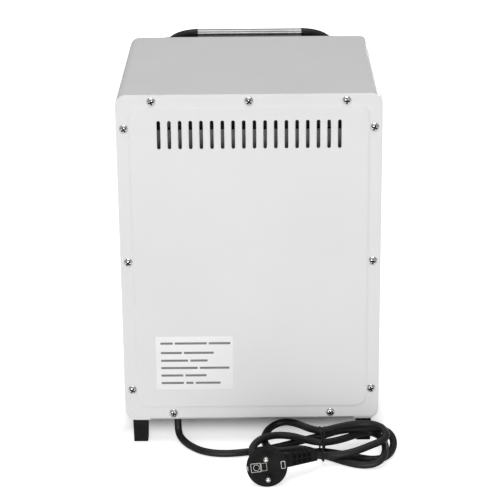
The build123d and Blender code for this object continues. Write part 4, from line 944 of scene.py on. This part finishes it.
@dataclass
class Controls:
    """Control fascia with two dials and a pilot lamp."""

    fascia_y: float = -94.475
    dial_x: float = 58.0
    dial_z: float = 66.0
    tick_inner: float = 20.6
    tick_outer: float = 22.6
    tick_width: float = 0.6
    figure_reach: float = 26.2
    figure_size: float = 4.4
    print_depth: float = 0.05

    def scale(self, name: str, middle_x: float, figures: Sequence[int], sweep: float) -> bpy.types.Object:
        """Print one dial's scale: figures clockwise from the top, with ticks between.

        Args:
            name: The piece's name.
            middle_x: X of the dial's axis.
            figures: The figures in order.
            sweep: Turn from the first figure to the last, in degrees.

        Returns:
            The printed scale.
        """
        draft = MeshDraft()
        near, far = self.fascia_y - self.print_depth, self.fascia_y - self.print_depth / 2
        ticks = (len(figures) - 1) * 2
        for number in range(ticks + 1):
            angle = radians(90.0 - sweep * number / ticks)
            ahead, beside = (cos(angle), sin(angle)), (-sin(angle), cos(angle))
            half = self.tick_width / (2 if number % 2 == 0 else 3.4)
            corners = []
            for reach, side in ((self.tick_inner, -half), (self.tick_outer, -half), (self.tick_outer, half),
                                (self.tick_inner, half)):
                corners.append((middle_x + ahead[0] * reach + beside[0] * side,
                                self.dial_z + ahead[1] * reach + beside[1] * side))
            draft.stack([standing(corners, near), standing(corners, far)], capped=True)
        for number, figure in enumerate(figures):
            angle = radians(90.0 - sweep * number / (len(figures) - 1))
            centre = (middle_x + self.figure_reach * cos(angle), self.dial_z + self.figure_reach * sin(angle))
            self.figure(draft, str(figure), centre, near)
        return draft.piece(name, PRINT_WHITE, Body.CABINET)

    def figure(self, draft: MeshDraft, words: str, centre: Spot, y: float) -> None:
        """Add one printed figure to a mesh.

        Args:
            draft: The mesh.
            words: The figure.
            centre: Its middle.
            y: Depth of its face.
        """
        curve = bpy.data.curves.new("figure", "FONT")
        curve.body = words
        curve.size = self.figure_size
        curve.resolution_u = 3
        curve.align_x = "CENTER"
        curve.align_y = "CENTER"
        item = bpy.data.objects.new("figure", curve)
        data = bpy.data.meshes.new_from_object(item)
        bpy.data.objects.remove(item)
        bpy.data.curves.remove(curve)
        spots = draft.ring([(centre[0] + vert.co.x, y, centre[1] + vert.co.y) for vert in data.vertices])
        for polygon in data.polygons:
            draft.mesh.faces.new([spots[index] for index in polygon.vertices])
        bpy.data.meshes.remove(data)

    def dress(self) -> None:
        """Print the scales and dress the carried-over nodes."""
        self.scale("temperature_scale", -self.dial_x, range(0, 251, 50), 270.0)
        self.scale("timer_scale", self.dial_x, range(0, 61, 10), 300.0)
        dress_nodes(FASCIA_FILM, "control_fascia")
        dress_nodes(PLATED_STEEL, "control_nuts")
        dress_nodes(CERAMIC, "thermostat_body")
        dress_nodes(HOUSING_PLASTIC, "timer_body", "lamp_holder")
        dress_nodes(LAMP_RED, "lamp_lens")
        dress_nodes(STAINLESS, "thermostat_shaft", "timer_shaft")
        dress_nodes(BLACK_PLASTIC, "temperature_knob", "timer_knob")


@dataclass
class MainsCord:
    """Mains cord: lead, tied hank, wire tie and angled plug."""

    diameter: float = 7.2
    length: float = 1.035
    lead: tuple[Point, ...] = (
        (74.2, 129.825, 29.8), (74.2, 129.825, 15.0), (73.4, 134.0, 6.6), (69.2, 142.5, 3.6), (62.0, 155.5, 3.6),
        (50.5, 167.6, 3.6), (36.5, 173.6, 3.6), (21.0, 174.2, 3.6), (7.3, 171.6, 3.6))
    hank: tuple[Point, ...] = (
        (-6.5, 167.8, 3.6), (-20.5, 162.8, 3.7), (-34.0, 160.3, 5.8), (-47.5, 160.3, 9.9), (-58.5, 161.8, 13.6),
        (-68.8, 162.8, 16.5), (-82.1, 155.3, 17.6), (-94.9, 151.0, 17.6), (-107.6, 149.0, 17.4),
        (-118.3, 147.4, 17.0), (-127.8, 146.8, 16.0), (-134.8, 149.2, 14.0), (-138.7, 156.8, 11.5),
        (-139.4, 165.9, 8.5), (-136.4, 175.9, 5.4), (-130.8, 184.0, 3.8), (-123.3, 189.1, 3.6),
        (-113.5, 189.4, 3.6), (-103.1, 184.9, 3.6), (-92.6, 179.4, 3.6), (-81.1, 174.8, 3.6),
        (-68.5, 170.9, 3.6), (-57.2, 172.2, 3.6), (-45.7, 179.7, 3.6), (-34.8, 190.4, 3.6), (-24.5, 199.1, 3.6),
        (-14.8, 201.1, 3.8), (-6.4, 199.6, 5.5), (-1.2, 195.2, 8.5), (0.5, 187.7, 11.5), (-0.7, 180.1, 14.0),
        (-5.8, 172.4, 16.5), (-14.9, 165.9, 17.8), (-26.8, 160.4, 16.8), (-41.1, 161.9, 15.8),
        (-53.8, 170.3, 15.5), (-68.3, 176.4, 15.5), (-80.3, 169.9, 14.0), (-91.4, 161.8, 13.0),
        (-102.8, 152.1, 12.4), (-112.0, 146.0, 12.0), (-119.8, 146.2, 11.6), (-125.9, 152.5, 11.3),
        (-129.5, 163.7, 11.2), (-130.4, 177.5, 11.2), (-128.9, 191.2, 10.6), (-125.0, 199.5, 8.5),
        (-119.3, 202.0, 5.5), (-111.6, 201.9, 3.8), (-103.7, 200.9, 3.6), (-95.7, 197.3, 3.6),
        (-87.2, 192.4, 3.6), (-77.8, 184.9, 3.6), (-68.3, 178.6, 3.6), (-58.5, 177.4, 7.2), (-48.7, 178.6, 10.5),
        (-38.9, 181.0, 11.0), (-28.1, 184.1, 11.0), (-20.8, 183.1, 11.0), (-14.4, 174.6, 11.0),
        (-11.7, 161.2, 11.0), (-12.8, 147.9, 11.6), (-17.2, 137.1, 13.0), (-24.7, 131.7, 15.4),
        (-33.9, 131.8, 17.8), (-45.2, 141.8, 20.0), (-56.8, 157.7, 21.8), (-68.6, 165.5, 22.8),
        (-81.9, 159.3, 23.4), (-94.7, 153.5, 23.8), (-106.9, 151.4, 24.0), (-118.0, 152.0, 24.0),
        (-126.6, 157.3, 23.6), (-131.3, 166.3, 22.4), (-131.1, 175.6, 20.4), (-125.1, 181.1, 18.6),
        (-117.1, 183.9, 16.8), (-108.5, 187.6, 14.8), (-99.1, 190.8, 12.8), (-89.8, 192.8, 11.4),
        (-80.3, 193.4, 10.6), (-71.5, 194.6, 10.6), (-64.6, 199.2, 13.0), (-58.0, 203.1, 15.7))
    plug_centre: Point = (-14.2, 234.5, 19.21)
    plug_tilt: float = 16.0
    plug_roll: float = 6.0
    face_radius: float = 19.5
    pin_spacing: float = 19.0
    pin_radius: float = 2.4
    pin_length: float = 19.0
    relief_start: Point = (-28.5, 221.5, 19.4)
    relief_end: Point = (-60.2, 201.7, 15.4)
    relief_half: float = 6.6
    relief_taper: float = 1.3
    relief_end_round: float = 0.6
    cell_count: int = 4
    cell_start: float = 8.4
    cell_pitch: float = 5.7
    cell_length: float = 4.0
    cell_depth: float = 2.6
    socket_reach: float = 10.0
    tie_radius: float = 0.8

    def axes(self) -> tuple[Vector, Vector, Vector]:
        """Directions of the plug: across its face, up its face and out of it."""
        tilt, roll = radians(self.plug_tilt), radians(self.plug_roll)
        up = Vector((0.0, -sin(tilt), cos(tilt)))
        out = Vector((0.0, cos(tilt), sin(tilt)))
        across = Vector((1.0, 0.0, 0.0)) * cos(roll) - up * sin(roll)
        return across, out.cross(across) * -1.0, out

    def wire(self) -> bpy.types.Object:
        """Build the cord as one smooth open spline through the lead and the hank."""
        cord = smooth_wire("power_cord", self.lead + self.hank, self.diameter / 2, 6)
        cord.data.resolution_u = 6
        cord.data.materials.append(CORD_RUBBER.material())
        return settle(cord, CORD_RUBBER, Body.CABINET, ["power_cord_lead", "power_cord_hank"])

    def tie(self) -> bpy.types.Object:
        """Build the wire tie: two wraps round the waist and a twisted end."""
        loop = [(174.0, 0.9), (181.0, 0.9), (190.0, 3.2), (199.0, 7.0), (201.8, 11.5), (198.4, 16.0),
                (184.0, 22.6), (170.5, 27.4), (163.0, 27.3), (158.6, 21.5), (158.0, 14.5), (162.6, 5.6),
                (168.5, 0.9)]
        route: list[Point] = []
        for wrap, (lean, shift) in enumerate(((-1.6, -67.6), (1.8, -70.2))):
            for y, z in loop:
                route.append((shift + lean * (y - 178.0) / 22.0, y, max(z, 0.9)))
        route += [(-69.0, 186.0, 23.5), (-66.5, 192.0, 24.5), (-65.5, 197.0, 21.0)]
        rope = smooth_wire("tie_route", route, self.tie_radius, 3)
        bpy.context.view_layer.update()
        data = bpy.data.meshes.new_from_object(rope.evaluated_get(bpy.context.evaluated_depsgraph_get()))
        bpy.data.objects.remove(rope)
        data.materials.clear()
        data.materials.append(TIE_PLASTIC.material())
        data.shade_smooth()
        return settle(linked("cord_tie_wire", data), TIE_PLASTIC, Body.CABINET, ["cord_tie"])

    def plug(self) -> bpy.types.Object:
        """Build the plug's body: round face with a rolled rim, tapered back and laddered relief."""
        across, up, out = self.axes()
        centre = Vector(self.plug_centre)
        face = self.face_radius
        draft = MeshDraft()
        profile = [(0.0, -0.9), (13.6, -0.9), (14.2, -0.75), (14.7, -0.2), (15.2, 0.0), (face - 1.0, 0.0),
                   (face - 0.35, -0.18), (face, -0.8), (face, -1.5), (face - 0.35, -2.4), (face - 1.75, -6.0),
                   (face - 2.6, -8.0), (14.8, -16.0), (13.2, -20.8), (12.0, -22.6), (10.2, -23.0),
                   (0.0, -23.0)]
        draft.turn(profile, centre, out, across, 72)
        self.relief(draft)
        return draft.piece("plug_body_shell", PLUG_PLASTIC, Body.CABINET, ["plug_body"], smooth_angle=40.0)

    def relief(self, draft: MeshDraft) -> None:
        """Add the laddered strain relief: a tapered square stem with cells sunk in its four sides.

        Args:
            draft: The plug's mesh.
        """
        start, end = Vector(self.relief_start), Vector(self.relief_end)
        along = (end - start).normalized()
        above = (self.axes()[1] - along * self.axes()[1].dot(along)).normalized()
        beside = along.cross(above)
        length = (end - start).length
        cuts = [-8.0, 6.0]
        for number in range(self.cell_count):
            first = self.cell_start + number * self.cell_pitch
            cuts += [first, first + self.cell_length]
        cuts += [33.4, length - 0.8, length]
        cells = (-1.0, -0.8, -0.13, 0.13, 0.8, 1.0)
        rings = []
        for distance in cuts:
            half = self.relief_half - self.relief_taper * max(0.0, distance) / length
            if distance == length:
                half -= self.relief_end_round
            near = [half * cell for cell in cells[:-1]]
            spots = [(spot, -half) for spot in near] + [(half, spot) for spot in near]
            spots += [(-spot, half) for spot in near] + [(-half, -spot) for spot in near]
            middle = start + along * distance
            rings.append([tuple(middle + beside * a + above * b) for a, b in spots])
        made = draft.stack(rings, capped=True)
        draft.mesh.faces.index_update()
        sunk = []
        for step in range(2, 2 + 2 * self.cell_count, 2):
            ring, later = made[step], made[step + 1]
            for edge in range(4):
                for cell in (1, 3):
                    index = edge * 5 + cell
                    after = (index + 1) % len(ring)
                    corners = {ring[index], ring[after], later[index], later[after]}
                    sunk += [item for item in ring[index].link_faces if set(item.verts) == corners]
        for item in sunk:
            inward = (start + along * (item.calc_center_median() / MM - start).dot(along)) * MM
            pull = (inward - item.calc_center_median()).normalized() * self.cell_depth * MM
            result = bmesh.ops.extrude_discrete_faces(draft.mesh, faces=[item])
            for corner in result["faces"][0].verts:
                corner.co += pull

    def pins(self) -> bpy.types.Object:
        """Build the two round pins."""
        across, up, out = self.axes()
        centre = Vector(self.plug_centre)
        radius, tip = self.pin_radius, self.pin_length
        draft = MeshDraft()
        for side in (-1, 1):
            origin = centre + up * (side * self.pin_spacing / 2)
            profile = [(0.0, -5.0), (radius, -5.0), (radius, tip - 2.2), (radius - 0.3, tip - 1.1),
                       (radius - 1.0, tip - 0.3), (radius - 1.8, tip), (0.0, tip)]
            draft.turn(profile, origin, out, across, 32)
        return draft.piece("plug_pin_pair", NICKEL, Body.CABINET, ["plug_pins"], smooth_angle=50.0)

    def contacts(self) -> bpy.types.Object:
        """Build the earth parts: the socket with its square surround, and the two rim clips."""
        across, up, out = self.axes()
        centre = Vector(self.plug_centre)
        draft = MeshDraft()
        socket = centre + across * self.socket_reach
        profile = [(2.5, -5.5), (2.5, 0.15), (2.6, 0.3), (3.0, 0.3), (3.15, 0.15), (3.15, -5.5)]
        rings = draft.turn(profile, socket, out, across, 32)
        draft.bridge(rings[-1], rings[0])
        self.strip(draft, socket + across * 0.6, (9.6, 8.6), 0.55)
        self.strip(draft, socket - across * 7.2, (5.4, 7.4), 0.35)
        self.strip(draft, centre - across * 15.4, (4.2, 7.2), 0.6)
        self.strip(draft, centre + across * 18.4, (0.9, 4.2), 0.0)
        # The earth strips take the darkened nickel: painted shade.
        return draft.piece("plug_earth_set", CONTACT_SHADED_NICKEL, Body.CABINET, ["plug_earth_contacts"],
                           smooth_angle=40.0)

    def strip(self, draft: MeshDraft, middle: Vector, size: Spot, frame_width: float) -> None:
        """Add a thin metal strip on the plug's face, as a frame or as a bar.

        Args:
            draft: The mesh.
            middle: Its middle, in millimetres.
            size: Its width and height.
            frame_width: Width of the frame, or 0 for a full bar.
        """
        across, up, out = self.axes()
        outer = rounded_loop(size[0], size[1], min(0.5, size[0] / 3), arc=3, side=2)
        levels = [(-1.2, outer), (0.2, outer)]
        if frame_width > 0:
            inner = rounded_loop(size[0] - 2 * frame_width, size[1] - 2 * frame_width, 0.4, arc=3, side=2)
            levels += [(0.2, inner), (-1.2, inner)]
        rings = []
        for level, loop in levels:
            rings.append([tuple(middle + across * a + up * b + out * level) for a, b in loop])
        made = draft.stack(rings, capped=frame_width <= 0)
        if frame_width > 0:
            draft.bridge(made[-1], made[0])

    def dress(self) -> None:
        """Build the cord and all that is on it."""
        cord = self.wire()
        pieces = [self.tie(), self.plug(), self.pins(), self.contacts()]
        dress_nodes(CORD_RUBBER, "cord_bush")


# Stage


@dataclass
class Studio:
    """Camera, floor and soft lights."""

    camera_at: Point = (-8.27, 1791.725, 799.57)
    yaw: float = 0.29764
    pitch: float = 19.8545
    roll: float = -0.5752
    lens: float = 131.645
    sensor: float = 36.0
    seen_range: Spot = (0.05, 30.0)
    world_level: float = 0.34
    # The near glow is painted light that whitens the floor and its shadows round the cabinet; inside the box
    # under the cabinet the floor gets none and its shadow is real.
    floor_lift: float = 0.62
    far_lift: float = 0.5
    dark_half: Spot = (100.0, 82.0)
    dark_edge: float = 44.0
    far_reach: Spot = (0.5, 2.4)
    floor_half: float = 6.0
    lamps: tuple = (
        ("key", (0.4, 4.0, 0.5), (0.0, 0.0, 0.16), 2.4, 103.0),
        ("top", (0.0, 0.2, 2.6), (0.0, 0.0, 0.2), 1.8, 22.0),
        ("front", (-1.2, -3.4, 0.3), (0.0, 0.0, 0.2), 0.5, 14.0))

    def camera(self) -> None:
        """Set up the camera at the photograph's place and angle."""
        yaw, pitch, roll = radians(self.yaw), radians(self.pitch), radians(self.roll)
        ahead = Vector((sin(yaw) * cos(pitch), -cos(yaw) * cos(pitch), -sin(pitch)))
        level = ahead.cross(Vector((0, 0, 1))).normalized()
        above = level.cross(ahead)
        right = level * cos(roll) + above * sin(roll)
        top = above * cos(roll) - level * sin(roll)
        data = bpy.data.cameras.new("camera")
        data.lens = self.lens
        data.sensor_width = self.sensor
        data.clip_start, data.clip_end = self.seen_range
        item = linked("camera", data)
        turn = Matrix((right, top, -ahead)).transposed().to_4x4()
        item.matrix_world = Matrix.Translation(Vector(self.camera_at) * MM) @ turn
        bpy.context.scene.camera = item

    def floor(self) -> None:
        """Lay a wide pale floor that the camera sees a little lighter than it is, through painted light that is
        held off under the cabinet.
        """
        mesh = bmesh.new()
        half = self.floor_half
        corners = ((-half, -half), (half, -half), (half, half), (-half, half))
        mesh.faces.new([mesh.verts.new((x, y, 0.0)) for x, y in corners])
        data = bpy.data.meshes.new("floor")
        mesh.to_mesh(data)
        mesh.free()
        bench = NodeBench("floor_paper")
        shader = bench.surface(Roughness=0.9)
        patches = bench.spread(bench.noise(1.5, 2.0), 0.0, 1.0)
        tone = bench.blend_colours(patches, (0.93, 0.93, 0.93), (0.91, 0.91, 0.91))
        bench.wire(tone, shader.inputs["Base Color"])
        seen = bench.add("ShaderNodeLightPath").outputs["Is Camera Ray"]
        lift = bench.add("ShaderNodeEmission")
        bench.wire(bench.reckon("MULTIPLY", seen, self.lift_by_place(bench)), lift.inputs["Strength"])
        both = bench.add("ShaderNodeAddShader")
        bench.wire(shader.outputs["BSDF"], both.inputs[0])
        bench.wire(lift.outputs["Emission"], both.inputs[1])
        bench.wire(both.outputs["Shader"], bench.output.inputs["Surface"])
        data.materials.append(bench.material)
        linked("floor", data)

    def lift_by_place(self, bench: NodeBench) -> bpy.types.NodeSocket:
        """Painted light on the floor for the camera: a glow that is none under the cabinet, where its real
        shadow stays dark, lifts the floor and any shadow on it all round, and is most far off.

        Args:
            bench: The floor's material.

        Returns:
            The glow's strength.
        """
        place = bench.add("ShaderNodeTexCoord")
        split = bench.add("ShaderNodeSeparateXYZ")
        bench.wire(place.outputs["Object"], split.inputs["Vector"])
        reaches = []
        for axis, half in zip("XY", self.dark_half):
            reaches.append(bench.reckon("SUBTRACT", bench.reckon("ABSOLUTE", split.outputs[axis]), half * MM))
        longest = bench.reckon("MAXIMUM", *reaches)
        levels = []
        near_reach = (0.0, self.dark_edge * MM)
        for (start, end), strength in ((near_reach, self.floor_lift), (self.far_reach, self.far_lift)):
            ramp = bench.add("ShaderNodeMapRange")
            ramp.interpolation_type = "SMOOTHSTEP"
            ramp.inputs["From Min"].default_value = start
            ramp.inputs["From Max"].default_value = end
            ramp.inputs["To Max"].default_value = strength
            bench.wire(longest, ramp.inputs["Value"])
            levels.append(ramp.outputs["Result"])
        return bench.reckon("ADD", *levels)

    def world(self) -> None:
        """Light everything evenly and show white behind the object."""
        world = bpy.data.worlds.new("studio")
        bpy.context.scene.world = world
        world.use_nodes = True
        tree = world.node_tree
        tree.nodes.clear()
        path = tree.nodes.new("ShaderNodeLightPath")
        glossy = tree.nodes.new("ShaderNodeMath")
        glossy.operation = "MAXIMUM"
        tree.links.new(path.outputs["Is Camera Ray"], glossy.inputs[0])
        tree.links.new(path.outputs["Is Transmission Ray"], glossy.inputs[1])
        level = tree.nodes.new("ShaderNodeMapRange")
        level.inputs["To Min"].default_value = self.world_level
        level.inputs["To Max"].default_value = 1.0
        tree.links.new(glossy.outputs["Value"], level.inputs["Value"])
        sky = tree.nodes.new("ShaderNodeBackground")
        sky.inputs["Color"].default_value = (1.0, 1.0, 1.0, 1.0)
        tree.links.new(level.outputs["Result"], sky.inputs["Strength"])
        out = tree.nodes.new("ShaderNodeOutputWorld")
        tree.links.new(sky.outputs["Background"], out.inputs["Surface"])

    def lamp(self, name: str, place: Point, target: Point, size: float, power: float) -> None:
        """Hang one square soft light.

        Args:
            name: Its name.
            place: Where it hangs, in metres.
            target: What it faces, in metres.
            size: Its side in metres.
            power: Its power in watts.
        """
        data = bpy.data.lights.new(name, "AREA")
        data.shape = "SQUARE"
        data.size = size
        data.energy = power
        item = linked(name, data)
        item.location = place
        item.rotation_euler = (Vector(target) - Vector(place)).to_track_quat("-Z", "Y").to_euler()

    def build(self) -> None:
        """Set up the whole stage."""
        bpy.context.scene.view_settings.view_transform = "Standard"
        self.camera()
        self.floor()
        self.world()
        for lamp in self.lamps:
            self.lamp(*lamp)


def main() -> None:
    """Build the stage and every sub-assembly."""
    logging.basicConfig(level=logging.INFO, format="%(name)s %(message)s")
    Studio().build()
    MainsCord().dress()
    Casing().dress()
    Door().dress()
    Chamber().dress()
    Controls().dress()


if __name__ == "__main__":
    main()
